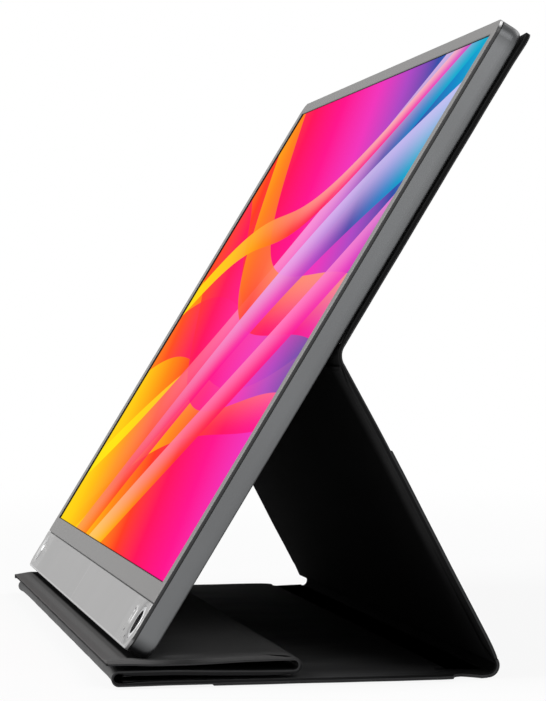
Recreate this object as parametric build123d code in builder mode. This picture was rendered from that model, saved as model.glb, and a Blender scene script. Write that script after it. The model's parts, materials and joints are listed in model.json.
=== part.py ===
from build123d import *
import os
from math import atan, cos, radians, sin, tan

# A thin portable monitor held up by its folding cover.  Millimetres and degrees.
# +X is to the right of someone facing the screen, +Y is away from them, +Z is up.
# The origin is on the table, midway across the stand and midway from front to back.

os.makedirs("parts", exist_ok=True)

# ---- Monitor body: sizes in the plane of the screen ----
monitor_width = 359.7
monitor_height = 226.4
monitor_thick = 8.0
plate_corner = 5.0
side_margin = 5.75
top_margin = 5.4
lower_margin = 7.0
chin_height = 16.2
seam_gap = 0.2
seat_gap = 0.15

# ---- Monitor body: depths, counted backwards from the front face ----
plate_thick = 0.9
gasket_thick = 0.45
film_recess = 0.4
film_thick = 0.15
cell_thick = 1.05
sheets_thick = 0.5
guide_thick = 0.7
reflector_thick = 0.2
led_bar_height = 1.8
led_bar_gap = 0.2
floor_thick = 0.4
back_wall = 0.9
wall_flat_depth = 5.0
side_draw = 1.2
bottom_draw = 2.0
top_draw = 0.9
side_wall = 3.0
gasket_inset = 0.6
edge_break = 0.25
bevel_steps = 6

# ---- Stand: angles, and the places of its fold lines ----
screen_slope = 58.3
leg_slope = 62.26
foot_from_shelf_edge = 5.9
front_fold_from_shelf_edge = 4.2
flap_fold_reach = 53.4
leg_fold_reach = 117.5
edge_clearance = 0.3
magnet_gap = 0.05
back_overhang = 1.1

# ---- Cover: layers, hems and folds ----
skin_thick = 0.5
board_thick = 0.8
lining_thick = 0.5
wrap_thick = 0.45
hem_width = 4.0
cover_overhang = 0.15
base_to_flap_gap = 1.0
flap_to_shelf_gap = 1.25
fold_inner = 0.8
fold_tail = 1.0
board_setback = 3.5
pocket_wall = 0.5
notch_depth = 13.0
leg_notch_length = 1.0
leg_notch_corner = 0.8
rear_notch_length = 13.7
notch_corner = 3.0
rear_notch_corner = 5.0
free_corner = 6.0
shelf_corner = 0.8
spine_width = 10.0
spine_board_width = 8.0
wrap_on_leg = 76.0
wrap_on_base = 88.8

# ---- Controls, sockets and small parts ----
pen_from_edge = 9.35
pen_height = 8.8
pen_radius = 4.0
pen_sleeve_radius = 4.8
pen_flange_radius = 5.7
key_from_edge = 11.85
key_height = 8.6
key_radius = 4.0
key_proud = 0.3
key_travel = 0.4
key_flange = 0.7
key_flange_thick = 0.35
key_switch_side = 5.0
key_switch_base = 0.5
dome_radius = 1.5
ring_proud = 0.1
ring_radius = 5.4
running_gap = 0.15
slip_gap = 0.05
lens_from_key = (7.5, 2.4)
lens_radius = 0.6
pit_radius = 0.45
pit_depth = 0.4
pits_from_pen = [(-16.5, 3.2), (-15.5, -4.2), (-7.1, -5.8)]
power_height = 62.0
power_depth = 4.9
power_length = 8.0
power_thick = 2.2
power_proud = 0.25
power_flange_length = 9.6
power_flange_width = 2.8
power_flange_thick = 0.6
power_switch_length = 6.0
power_switch_width = 3.0
power_switch_thick = 1.4
plunger_length = 3.0
plunger_thick = 0.7
port_height = 38.0
port_width = 8.94
port_thick = 3.26
port_wall = 0.3
port_length = 7.35
port_recess = 1.15
tongue_width = 6.69
tongue_thick = 0.7
tongue_length = 4.45
board_from_edge = 4.65
board_width = 90.2
board_low = 24.0
board_height = 50.0
board_plate = 0.8
board_rear_gap = 0.9
screw_inset = 5.0
screw_radius = 0.8
screw_head_radius = 1.6
screw_head_thick = 0.5
boss_radius = 2.4
can_width = 34.0
can_height = 24.0
can_depth = 1.2
can_wall = 0.3
can_from_board = 57.2
chip_side = 14.0
chip_thick = 0.7
driver_width = 120.0
driver_height = 12.0
driver_low = 26.0
flex_width = 10.0
flex_thick = 0.15
flex_inset = 1.0
flex_overlap = 10.0
socket_inset = 8.0
socket_width = 6.0
frame_screw_places = [-120.0, -40.0, 40.0, 120.0]
frame_screw_rise = 2.4
frame_screw_length = 4.6
pillar_places = [(-60.0, 120.0), (60.0, 120.0), (-60.0, 200.0), (60.0, 200.0), (150.0, 60.0)]
latch_length = 40.0
latch_height = 10.0
latch_thick = 0.4
latch_from_side = 50.0
latch_from_fold = 29.3
latch_from_top = 21.4
shelf_magnet_length = 24.0
shelf_magnet_width = 5.0
shelf_magnet_places = [-120.0, 0.0, 120.0]

# ---- Worked-out values: depths ----
slope = radians(screen_slope)
lean = radians(leg_slope)
core_thick = skin_thick + board_thick + lining_thick
hem_thick = skin_thick + lining_thick
housing_front = plate_thick + gasket_thick
back_bevel = monitor_thick - wall_flat_depth
film_rear = film_recess + film_thick
cell_rear = film_rear + cell_thick
sheets_rear = cell_rear + sheets_thick
guide_rear = sheets_rear + guide_thick
reflector_rear = guide_rear + reflector_thick
floor_rear = reflector_rear + floor_thick
cavity_rear = monitor_thick - back_wall
window_width = monitor_width - 2 * side_margin
window_height = monitor_height - top_margin - lower_margin - chin_height
window_middle = monitor_height - top_margin - window_height / 2
plate_middle = monitor_height / 2
board_rear = cavity_rear - board_rear_gap
board_front = board_rear - board_plate
port_depth = cavity_rear - port_thick / 2
frame_screw_end = plate_thick + frame_screw_length

# ---- Worked-out values: the stand seen from its side ----
# The housing's rear edge is a quarter ellipse.  Its lowest point is where the
# ellipse is level, and the lower edge of the monitor clears the shelf there.
lowest_turn = atan(back_bevel * cos(slope) / (bottom_draw * sin(slope)))
edge_drop = (wall_flat_depth + back_bevel * sin(lowest_turn)) * cos(slope)
edge_lift = bottom_draw * (1 - cos(lowest_turn)) * sin(slope)
base_bottom = wrap_thick
base_top = base_bottom + core_thick
flap_bottom = base_top + base_to_flap_gap
flap_top = flap_bottom + core_thick
shelf_bottom = flap_top + flap_to_shelf_gap
shelf_top = shelf_bottom + core_thick
foot_z = shelf_top + edge_clearance + edge_drop - edge_lift
back_outer = monitor_thick + magnet_gap + core_thick
back_panel_top = monitor_height + back_overhang
stand_depth = foot_from_shelf_edge + back_panel_top * cos(slope) + back_outer * sin(slope)
shelf_front = -stand_depth / 2
foot_y = shelf_front + foot_from_shelf_edge
front_fold_y = shelf_front + front_fold_from_shelf_edge
front_fold_z = (base_top + flap_bottom) / 2
flap_fold_y = front_fold_y + flap_fold_reach
flap_fold_z = (flap_top + shelf_bottom) / 2
front_fold_inner = (flap_top - base_bottom) / 2 - hem_thick
flap_fold_inner = (shelf_bottom - flap_top) / 2
leg_fold_y = front_fold_y + leg_fold_reach
leg_fold_z = base_bottom + hem_thick + fold_inner
leg_out_y = sin(lean)
leg_out_z = cos(lean)
leg_skin_reach = fold_inner + hem_thick
leg_line_reach = leg_skin_reach + fold_inner
back_line_depth = back_outer + fold_inner
gap_y = leg_fold_y + leg_line_reach * leg_out_y - foot_y - back_line_depth * sin(slope)
gap_z = leg_fold_z + leg_line_reach * leg_out_z - foot_z + back_line_depth * cos(slope)
back_fold_height = (gap_y * sin(lean) + gap_z * cos(lean)) / sin(slope + lean)
leg_length = (gap_y * sin(slope) - gap_z * cos(slope)) / sin(slope + lean)
back_fold_y = foot_y + back_fold_height * cos(slope) + back_line_depth * sin(slope)
back_fold_z = foot_z + back_fold_height * sin(slope) - back_line_depth * cos(slope)
base_rear = leg_fold_y - fold_tail
base_front = front_fold_y + fold_tail
spine_front = leg_fold_y - spine_width
notch_front = leg_fold_y - rear_notch_length
cover_edge = monitor_width / 2 + cover_overhang
notch_edge = cover_edge - notch_depth
board_edge = cover_edge - hem_width
board_notch_edge = notch_edge - hem_width

# ---- Planes: local y runs along each panel and local z points to its lined side ----
front_plane = Plane(
    origin=(0, foot_y, foot_z), x_dir=(1, 0, 0), z_dir=(0, -sin(slope), cos(slope))
)
back_plane = Plane(
    origin=(0, foot_y + back_outer * sin(slope), foot_z - back_outer * cos(slope)),
    x_dir=(1, 0, 0),
    z_dir=(0, -sin(slope), cos(slope)),
)
leg_plane = Plane(
    origin=(
        0,
        leg_fold_y + leg_skin_reach * leg_out_y,
        leg_fold_z + leg_skin_reach * leg_out_z,
    ),
    x_dir=(1, 0, 0),
    z_dir=(0, -leg_out_y, -leg_out_z),
)
base_plane = Plane(origin=(0, 0, base_bottom), x_dir=(1, 0, 0), z_dir=(0, 0, 1))
shelf_plane = Plane(origin=(0, 0, shelf_bottom), x_dir=(1, 0, 0), z_dir=(0, 0, 1))
flap_plane = Plane(origin=(0, 0, flap_top), x_dir=(1, 0, 0), z_dir=(0, 0, -1))


latch_places = [
    (side * (monitor_width / 2 - latch_from_side - latch_length / 2), height)
    for side in (-1, 1)
    for height in (back_fold_height + latch_from_fold, monitor_height - latch_from_top)
]


def panel_sheet(low, high, low_cut, high_cut, edge, neck, notch_r, low_r, high_r, grow=0):
    """Outline of one cover panel, mirrored about its middle line.

    It runs from low to high along the panel and is cut back to neck over
    low_cut and high_cut at the folds.  low_r and high_r round the outer
    corners, notch_r the inner corners of the cuts, and grow widens it all.
    """
    bottom = low - grow
    top = high + grow
    side = edge + grow
    waist = neck + grow
    points = [(0, bottom)]
    radii = []
    if low_cut:
        points += [(waist, bottom), (waist, low + low_cut - grow), (side, low + low_cut - grow)]
        radii += [0, notch_r, notch_r]
    else:
        points += [(side, bottom)]
        radii += [low_r]
    if high_cut:
        points += [(side, high - high_cut + grow), (waist, high - high_cut + grow), (waist, top)]
        radii += [notch_r, notch_r, 0]
    else:
        points += [(side, top)]
        radii += [high_r]
    points += [(0, top)]
    with BuildLine() as outline:
        FilletPolyline(*points, radius=radii)
        mirror(about=Plane.YZ)
    make_face(outline.edges())


def base_outline(grow=0):
    """Base panel with the spine behind it, notched round the spine's ends."""
    panel_sheet(
        base_front, base_rear, 0, base_rear - notch_front,
        cover_edge, notch_edge, rear_notch_corner, 0, 0, grow,
    )


def base_board_outline(grow=0):
    """Stiffener of the base panel, set back from the fold and the crease."""
    panel_sheet(
        front_fold_y + board_setback, spine_front - board_setback, 0, hem_width,
        board_edge, board_notch_edge, notch_corner, 0, 0, grow,
    )


def spine_board_outline(grow=0):
    """Narrow stiffener of the spine."""
    with Locations((0, spine_front + spine_board_width / 2)):
        Rectangle(2 * (board_notch_edge + grow), spine_board_width + 2 * grow)


def leg_outline():
    """Leg panel between its two folds, notched beside the rear one."""
    panel_sheet(
        fold_tail, leg_length - fold_tail, leg_notch_length, 0,
        cover_edge, notch_edge, leg_notch_corner, 0, 0,
    )


def leg_board_outline(grow=0):
    """Stiffener of the leg."""
    panel_sheet(
        board_setback, leg_length - board_setback, 0, 0,
        board_edge, board_edge, 0, 0, 0, grow,
    )


def back_outline():
    """Panel that lies on the upper half of the monitor's back."""
    panel_sheet(
        back_fold_height + fold_tail, back_panel_top, 0, 0,
        cover_edge, cover_edge, 0, 0, free_corner,
    )


def back_board_outline(grow=0):
    """Stiffener of the back panel."""
    panel_sheet(
        back_fold_height + board_setback, back_panel_top - hem_width, 0, 0,
        board_edge, board_edge, 0, 0, notch_corner, grow,
    )


def flap_outline():
    """Middle layer of the foot, between the two folded-back edges."""
    panel_sheet(
        -flap_fold_y + fold_tail, -front_fold_y - fold_tail, 0, 0,
        cover_edge, cover_edge, 0, 0, 0,
    )


def flap_board_outline(grow=0):
    """Stiffener of the flap."""
    panel_sheet(
        -flap_fold_y + board_setback, -front_fold_y - board_setback, 0, 0,
        board_edge, board_edge, 0, 0, 0, grow,
    )


def shelf_outline():
    """Top layer of the foot, which the monitor's lower edge stands on."""
    panel_sheet(
        shelf_front, flap_fold_y - fold_tail, 0, 0,
        cover_edge, cover_edge, 0, shelf_corner, 0,
    )


def shelf_board_outline(grow=0):
    """Stiffener of the shelf."""
    panel_sheet(
        shelf_front + hem_width, flap_fold_y - board_setback, 0, 0,
        board_edge, board_edge, 0, 0, 0, grow,
    )


def fold_band(centre, inner, thick, start, sweep):
    """Section of one bent layer: an arc band with a straight tail at each end."""
    turn = 1 if sweep > 0 else -1
    outer = inner + thick
    ends = []
    for angle, way in ((start, -turn), (start + sweep, turn)):
        out_y = cos(radians(angle))
        out_z = sin(radians(angle))
        tail_y = -out_z * way * fold_tail
        tail_z = out_y * way * fold_tail
        near = (centre[0] + inner * out_y, centre[1] + inner * out_z)
        far = (centre[0] + outer * out_y, centre[1] + outer * out_z)
        near_tail = (near[0] + tail_y, near[1] + tail_z)
        far_tail = (far[0] + tail_y, far[1] + tail_z)
        ends.append((near, near_tail, far_tail, far))
    with BuildLine() as outline:
        CenterArc(centre, inner, start, sweep)
        CenterArc(centre, outer, start, sweep)
        Polyline(*ends[0])
        Polyline(*ends[1])
    make_face(outline.edges())


front_fold = (front_fold_y, front_fold_z)
flap_fold = (flap_fold_y, flap_fold_z)
leg_fold = (leg_fold_y, leg_fold_z)
back_fold = (back_fold_y, back_fold_z)
leg_bend = 180 - leg_slope
back_bend = 180 - screen_slope - leg_slope

# ==== Cover: base and spine, flat on the table ====

with BuildPart() as base_skin:
    with BuildSketch(base_plane):
        base_outline()
    extrude(amount=skin_thick)

with BuildPart() as base_board:
    with BuildSketch(base_plane.offset(skin_thick)):
        base_board_outline()
    extrude(amount=board_thick)

with BuildPart() as spine_board:
    with BuildSketch(base_plane.offset(skin_thick)):
        spine_board_outline()
    extrude(amount=board_thick)

with BuildPart() as base_lining:
    with BuildSketch(base_plane.offset(skin_thick)):
        base_outline()
    extrude(amount=lining_thick)
    with BuildSketch(base_plane.offset(skin_thick)):
        base_board_outline(pocket_wall)
    extrude(amount=board_thick + lining_thick)
    with BuildSketch(base_plane.offset(skin_thick)):
        spine_board_outline(pocket_wall)
    extrude(amount=board_thick + lining_thick)
    with BuildSketch(base_plane.offset(skin_thick)):
        base_board_outline()
        spine_board_outline()
    extrude(amount=board_thick, mode=Mode.SUBTRACT)

with BuildPart() as base_wrap:
    with BuildSketch(base_plane):
        panel_sheet(
            leg_fold_y - wrap_on_base, base_rear, 0, base_rear - notch_front,
            cover_edge, notch_edge, rear_notch_corner, 0, 0,
        )
    extrude(amount=-wrap_thick)

# ==== Cover: leg ====

with BuildPart() as leg_skin:
    with BuildSketch(leg_plane):
        leg_outline()
    extrude(amount=skin_thick)

with BuildPart() as leg_board:
    with BuildSketch(leg_plane.offset(skin_thick)):
        leg_board_outline()
    extrude(amount=board_thick)

with BuildPart() as leg_lining:
    with BuildSketch(leg_plane.offset(skin_thick)):
        leg_outline()
    extrude(amount=lining_thick)
    with BuildSketch(leg_plane.offset(skin_thick)):
        leg_board_outline(pocket_wall)
    extrude(amount=board_thick + lining_thick)
    with BuildSketch(leg_plane.offset(skin_thick)):
        leg_board_outline()
    extrude(amount=board_thick, mode=Mode.SUBTRACT)

with BuildPart() as leg_wrap:
    with BuildSketch(leg_plane):
        panel_sheet(
            fold_tail, wrap_on_leg, leg_notch_length, 0,
            cover_edge, notch_edge, leg_notch_corner, 0, 0,
        )
    extrude(amount=-wrap_thick)

# ==== Cover: back panel behind the monitor ====

with BuildPart() as back_skin:
    with BuildSketch(back_plane):
        back_outline()
    extrude(amount=skin_thick)

with BuildPart() as back_board:
    with BuildSketch(back_plane.offset(skin_thick)):
        back_board_outline()
        with Locations(*latch_places):
            Rectangle(latch_length, latch_height, mode=Mode.SUBTRACT)
    extrude(amount=board_thick)

with BuildPart() as back_magnets:
    with BuildSketch(back_plane.offset(skin_thick)):
        with Locations(*latch_places):
            Rectangle(latch_length, latch_height)
    extrude(amount=board_thick)

with BuildPart() as back_lining:
    with BuildSketch(back_plane.offset(skin_thick)):
        back_outline()
    extrude(amount=lining_thick)
    with BuildSketch(back_plane.offset(skin_thick)):
        back_board_outline(pocket_wall)
    extrude(amount=board_thick + lining_thick)
    with BuildSketch(back_plane.offset(skin_thick)):
        back_board_outline()
    extrude(amount=board_thick, mode=Mode.SUBTRACT)

# ==== Cover: flap and shelf, folded back over the base ====

with BuildPart() as flap_skin:
    with BuildSketch(flap_plane):
        flap_outline()
    extrude(amount=skin_thick)

with BuildPart() as flap_board:
    with BuildSketch(flap_plane.offset(skin_thick)):
        flap_board_outline()
    extrude(amount=board_thick)

with BuildPart() as flap_lining:
    with BuildSketch(flap_plane.offset(skin_thick)):
        flap_outline()
    extrude(amount=lining_thick)
    with BuildSketch(flap_plane.offset(skin_thick)):
        flap_board_outline(pocket_wall)
    extrude(amount=board_thick + lining_thick)
    with BuildSketch(flap_plane.offset(skin_thick)):
        flap_board_outline()
    extrude(amount=board_thick, mode=Mode.SUBTRACT)

shelf_magnet_y = shelf_front + hem_width + shelf_magnet_width

with BuildPart() as shelf_skin:
    with BuildSketch(shelf_plane):
        shelf_outline()
    extrude(amount=skin_thick)

with BuildPart() as shelf_board:
    with BuildSketch(shelf_plane.offset(skin_thick)):
        shelf_board_outline()
        with Locations(*[(x, shelf_magnet_y) for x in shelf_magnet_places]):
            Rectangle(shelf_magnet_length, shelf_magnet_width, mode=Mode.SUBTRACT)
    extrude(amount=board_thick)

with BuildPart() as shelf_magnets:
    with BuildSketch(shelf_plane.offset(skin_thick)):
        with Locations(*[(x, shelf_magnet_y) for x in shelf_magnet_places]):
            Rectangle(shelf_magnet_length, shelf_magnet_width)
    extrude(amount=board_thick)

with BuildPart() as shelf_lining:
    with BuildSketch(shelf_plane.offset(skin_thick)):
        shelf_outline()
    extrude(amount=lining_thick)
    with BuildSketch(shelf_plane.offset(skin_thick)):
        shelf_board_outline(pocket_wall)
    extrude(amount=board_thick + lining_thick)
    with BuildSketch(shelf_plane.offset(skin_thick)):
        shelf_board_outline()
    extrude(amount=board_thick, mode=Mode.SUBTRACT)

# ==== Cover: bent layers at the four moving folds ====
# Leather is on the outside of the front and leg folds and on the inside of the
# other two, because the cover folds alternately one way and the other.

with BuildPart() as front_fold_lining:
    with BuildSketch(Plane.YZ):
        fold_band(front_fold, front_fold_inner, lining_thick, -90, -180)
    extrude(amount=cover_edge, both=True)

with BuildPart() as front_fold_skin:
    with BuildSketch(Plane.YZ):
        fold_band(front_fold, front_fold_inner + lining_thick, skin_thick, -90, -180)
    extrude(amount=cover_edge, both=True)

with BuildPart() as flap_fold_skin:
    with BuildSketch(Plane.YZ):
        fold_band(flap_fold, flap_fold_inner, skin_thick, -90, 180)
    extrude(amount=cover_edge, both=True)

with BuildPart() as flap_fold_lining:
    with BuildSketch(Plane.YZ):
        fold_band(flap_fold, flap_fold_inner + skin_thick, lining_thick, -90, 180)
    extrude(amount=cover_edge, both=True)

with BuildPart() as leg_fold_lining:
    with BuildSketch(Plane.YZ):
        fold_band(leg_fold, fold_inner, lining_thick, -90, leg_bend)
    extrude(amount=notch_edge, both=True)

with BuildPart() as leg_fold_skin:
    with BuildSketch(Plane.YZ):
        fold_band(leg_fold, fold_inner + lining_thick, skin_thick, -90, leg_bend)
    extrude(amount=notch_edge, both=True)

with BuildPart() as leg_fold_wrap:
    with BuildSketch(Plane.YZ):
        fold_band(leg_fold, fold_inner + hem_thick, wrap_thick, -90, leg_bend)
    extrude(amount=notch_edge, both=True)

with BuildPart() as back_fold_skin:
    with BuildSketch(Plane.YZ):
        fold_band(back_fold, fold_inner, skin_thick, 270 - leg_slope, -back_bend)
    extrude(amount=cover_edge, both=True)

with BuildPart() as back_fold_lining:
    with BuildSketch(Plane.YZ):
        fold_band(back_fold, fold_inner + skin_thick, lining_thick, 270 - leg_slope, -back_bend)
    extrude(amount=cover_edge, both=True)

# ==== Monitor: front plate, chin and shell ====


def deep(depth):
    """Sketch plane parallel to the screen, this far behind the front face."""
    return front_plane.offset(-depth)


def plate_outline(inset=0):
    """Outline of the whole front, drawn in by inset."""
    with Locations((0, plate_middle)):
        RectangleRounded(
            monitor_width - 2 * inset, monitor_height - 2 * inset, max(plate_corner - inset, edge_break)
        )


def window_outline(gap=0, mode=Mode.ADD):
    """Outline of the screen opening, drawn in by gap."""
    with Locations((0, window_middle)):
        Rectangle(window_width - 2 * gap, window_height - 2 * gap, mode=mode)


def frame_outline():
    """Inside of the housing, drawn in by the seat gap."""
    with Locations((0, plate_middle)):
        Rectangle(
            monitor_width - 2 * side_wall - 2 * seat_gap,
            monitor_height - 2 * side_wall - 2 * seat_gap,
        )


def shell_outline(drawn):
    """Housing outline, drawn in by this share of the rear edge's full draw."""
    width = monitor_width - 2 * side_draw * drawn
    height = monitor_height - (bottom_draw + top_draw) * drawn
    with Locations((0, plate_middle + (bottom_draw - top_draw) * drawn / 2)):
        RectangleRounded(width, height, plate_corner)


def side_plane(x):
    """Plane across the monitor's edge, with local x up the screen and -y its depth."""
    return Plane(
        origin=(x, foot_y, foot_z), x_dir=(0, cos(slope), sin(slope)), z_dir=(1, 0, 0)
    )


def port_outline(wall=0, mode=Mode.ADD):
    """Mouth of the socket, drawn in by wall."""
    with Locations((port_height, -port_depth)):
        SlotOverall(port_width - 2 * wall, port_thick - 2 * wall, mode=mode)


front_axis = Axis((0, 0, 0), (0, -sin(slope), cos(slope)))
pen_place = (monitor_width / 2 - pen_from_edge, pen_height)
key_place = (key_from_edge - monitor_width / 2, key_height)
lens_place = (key_place[0] + lens_from_key[0], key_place[1] + lens_from_key[1])
pit_places = [(pen_place[0] + x, pen_place[1] + y) for x, y in pits_from_pen]
frame_screw_spots = [(x, chin_height + frame_screw_rise) for x in frame_screw_places]
board_left = board_from_edge - monitor_width / 2
board_right = board_left + board_width
board_high = board_low + board_height
board_middle = ((board_left + board_right) / 2, (board_low + board_high) / 2)
can_x = board_left + can_from_board
flex_left = board_right - socket_inset - socket_width
flex_right = flex_overlap - driver_width / 2
flex_low = driver_low + flex_inset
board_screw_spots = [
    (x, y)
    for x in (board_left + 2 * screw_inset, board_right - screw_inset)
    for y in (board_low + screw_inset, board_high - screw_inset / 2)
]
wall_inside = -monitor_width / 2 + side_wall
port_mouth = -monitor_width / 2 + port_recess
port_end = port_mouth + port_length
key_flange_front = plate_thick + slip_gap
key_flange_rear = key_flange_front + key_flange_thick
key_pocket_radius = key_radius + key_flange + 2 * running_gap
dome_top = key_flange_rear + key_travel + slip_gap
key_switch_front = reflector_rear - key_switch_base
flange_start = wall_inside + slip_gap
flange_end = flange_start + power_flange_thick
plunger_tip = flange_end + key_travel + slip_gap
power_switch_start = board_left + slip_gap

with BuildPart() as front_bezel:
    with BuildSketch(front_plane):
        plate_outline()
        window_outline(mode=Mode.SUBTRACT)
        with Locations((0, (chin_height + seam_gap) / 2)):
            Rectangle(monitor_width, chin_height + seam_gap, mode=Mode.SUBTRACT)
    extrude(amount=-plate_thick)
    bezel_front = front_bezel.faces().sort_by(front_axis)[-1]
    chamfer(bezel_front.edges(), length=edge_break)

with BuildPart() as chin_plate:
    with BuildSketch(front_plane):
        plate_outline()
        with Locations((0, (monitor_height + chin_height) / 2)):
            Rectangle(monitor_width, monitor_height - chin_height, mode=Mode.SUBTRACT)
    extrude(amount=-plate_thick)
    chin_front = chin_plate.faces().sort_by(front_axis)[-1]
    chamfer(chin_front.edges(), length=edge_break)
    with BuildSketch(front_plane):
        with Locations(pen_place):
            Circle(pen_flange_radius)
        with Locations(key_place):
            Circle(ring_radius)
        with Locations(lens_place):
            Circle(lens_radius)
    extrude(amount=-plate_thick, mode=Mode.SUBTRACT)
    with BuildSketch(front_plane):
        with Locations(*pit_places):
            Circle(pit_radius)
    extrude(amount=-pit_depth, mode=Mode.SUBTRACT)

with BuildPart() as edge_gasket:
    with BuildSketch(deep(plate_thick)):
        plate_outline(gasket_inset)
        with Locations((0, plate_middle)):
            Rectangle(
                monitor_width - 2 * side_wall, monitor_height - 2 * side_wall, mode=Mode.SUBTRACT
            )
    extrude(amount=-gasket_thick)

with BuildPart() as rear_housing:
    with BuildSketch(deep(housing_front)):
        plate_outline()
    extrude(amount=housing_front - wall_flat_depth)
    for step in range(bevel_steps + 1):
        with BuildSketch(deep(wall_flat_depth + back_bevel * sin(radians(90 * step / bevel_steps)))):
            shell_outline(1 - cos(radians(90 * step / bevel_steps)))
    loft(ruled=True)
    with BuildSketch(deep(housing_front)):
        with Locations((0, plate_middle)):
            Rectangle(monitor_width - 2 * side_wall, monitor_height - 2 * side_wall)
    extrude(amount=housing_front - cavity_rear, mode=Mode.SUBTRACT)
    with BuildSketch(deep(floor_rear)):
        with Locations(*pillar_places, *frame_screw_spots):
            Circle(boss_radius)
    extrude(amount=floor_rear - cavity_rear)
    with BuildSketch(deep(board_rear)):
        with Locations(*board_screw_spots):
            Circle(boss_radius)
    extrude(amount=board_rear - cavity_rear)
    with BuildSketch(deep(housing_front)):
        with Locations(pen_place):
            Circle(pen_sleeve_radius)
    extrude(amount=housing_front - monitor_thick, mode=Mode.SUBTRACT)
    with BuildSketch(deep(board_front)):
        with Locations(*board_screw_spots):
            Circle(screw_radius)
    extrude(amount=board_front - cavity_rear, mode=Mode.SUBTRACT)
    with BuildSketch(deep(floor_rear)):
        with Locations(*frame_screw_spots):
            Circle(screw_radius)
    extrude(amount=floor_rear - frame_screw_end, mode=Mode.SUBTRACT)
    with BuildSketch(side_plane(-monitor_width / 2)):
        port_outline()
        with Locations((power_height, -power_depth)):
            SlotOverall(power_length + 2 * running_gap, power_thick + 2 * running_gap)
    extrude(amount=side_wall, mode=Mode.SUBTRACT)

with BuildPart() as mid_frame:
    with BuildSketch(deep(plate_thick)):
        frame_outline()
        window_outline(mode=Mode.SUBTRACT)
    extrude(amount=plate_thick - floor_rear)
    with BuildSketch(deep(reflector_rear)):
        frame_outline()
    extrude(amount=reflector_rear - floor_rear)
    with BuildSketch(deep(plate_thick)):
        with Locations(pen_place):
            Circle(pen_sleeve_radius)
        with Locations(*frame_screw_spots):
            Circle(screw_radius)
    extrude(amount=plate_thick - floor_rear, mode=Mode.SUBTRACT)
    with BuildSketch(deep(plate_thick)):
        with Locations(key_place):
            Circle(key_pocket_radius)
    extrude(amount=plate_thick - reflector_rear, mode=Mode.SUBTRACT)
    with BuildSketch(deep(plate_thick)):
        with Locations(*frame_screw_spots):
            Circle(screw_head_radius)
    extrude(amount=-screw_head_thick, mode=Mode.SUBTRACT)

with BuildPart() as frame_screws:
    with BuildSketch(deep(plate_thick)):
        with Locations(*frame_screw_spots):
            Circle(screw_head_radius)
    extrude(amount=-screw_head_thick)
    with BuildSketch(deep(plate_thick)):
        with Locations(*frame_screw_spots):
            Circle(screw_radius)
    extrude(amount=-frame_screw_length)

# ==== Monitor: screen layers, front to back ====

with BuildPart() as front_film:
    with BuildSketch(deep(film_recess)):
        window_outline(seat_gap)
    extrude(amount=-film_thick)

with BuildPart() as display_cell:
    with BuildSketch(deep(film_rear)):
        window_outline(seat_gap)
    extrude(amount=-cell_thick)

with BuildPart() as light_sheets:
    with BuildSketch(deep(cell_rear)):
        window_outline(seat_gap)
    extrude(amount=-sheets_thick)

window_low = window_middle - window_height / 2 + seat_gap
led_strip = led_bar_height + led_bar_gap

with BuildPart() as light_guide:
    with BuildSketch(deep(sheets_rear)):
        window_outline(seat_gap)
        with Locations((0, window_low + led_strip / 2)):
            Rectangle(window_width, led_strip, mode=Mode.SUBTRACT)
    extrude(amount=-guide_thick)

with BuildPart() as led_bar:
    with BuildSketch(deep(sheets_rear)):
        with Locations((0, window_low + led_bar_height / 2)):
            Rectangle(window_width - 2 * seat_gap, led_bar_height)
    extrude(amount=-guide_thick)

with BuildPart() as reflector:
    with BuildSketch(deep(guide_rear)):
        window_outline(seat_gap)
    extrude(amount=-reflector_thick)

# ==== Monitor: electronics ====

with BuildPart() as main_board:
    with BuildSketch(deep(board_front)):
        with Locations(board_middle):
            Rectangle(board_width, board_height)
        with Locations(((board_left + port_end) / 2, port_height)):
            Rectangle(port_end - board_left, port_width, mode=Mode.SUBTRACT)
        with Locations(*board_screw_spots):
            Circle(screw_radius, mode=Mode.SUBTRACT)
    extrude(amount=-board_plate)

with BuildPart() as board_screws:
    with BuildSketch(deep(board_front)):
        with Locations(*board_screw_spots):
            Circle(screw_head_radius)
    extrude(amount=screw_head_thick)
    with BuildSketch(deep(board_front)):
        with Locations(*board_screw_spots):
            Circle(screw_radius)
    extrude(amount=board_front - cavity_rear)

with BuildPart() as shield_can:
    with BuildSketch(deep(board_front)):
        with Locations((can_x, board_middle[1])):
            Rectangle(can_width, can_height)
    extrude(amount=can_depth)
    with BuildSketch(deep(board_front)):
        with Locations((can_x, board_middle[1])):
            Rectangle(can_width - 2 * can_wall, can_height - 2 * can_wall)
    extrude(amount=can_depth - can_wall, mode=Mode.SUBTRACT)

with BuildPart() as picture_chip:
    with BuildSketch(deep(board_front)):
        with Locations((can_x, board_middle[1])):
            Rectangle(chip_side, chip_side)
    extrude(amount=chip_thick)

with BuildPart() as driver_board:
    with BuildSketch(deep(floor_rear)):
        with Locations((0, driver_low + driver_height / 2)):
            Rectangle(driver_width, driver_height)
    extrude(amount=-board_plate)

flex_front = floor_rear + board_plate

with BuildPart() as picture_flex:
    with BuildSketch(deep(flex_front)):
        with Locations(((flex_left + flex_right) / 2, flex_low + flex_width / 2)):
            Rectangle(flex_right - flex_left, flex_width)
    extrude(amount=-flex_thick)

with BuildPart() as flex_socket:
    with BuildSketch(deep(flex_front + flex_thick)):
        with Locations((flex_left + socket_width / 2, flex_low + flex_width / 2)):
            Rectangle(socket_width, flex_width)
    extrude(amount=flex_front + flex_thick - board_front)

with BuildPart() as port_shell:
    with BuildSketch(side_plane(port_mouth)):
        port_outline()
    extrude(amount=port_length)
    with BuildSketch(side_plane(port_mouth)):
        port_outline(port_wall)
    extrude(amount=port_length - port_wall, mode=Mode.SUBTRACT)

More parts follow.
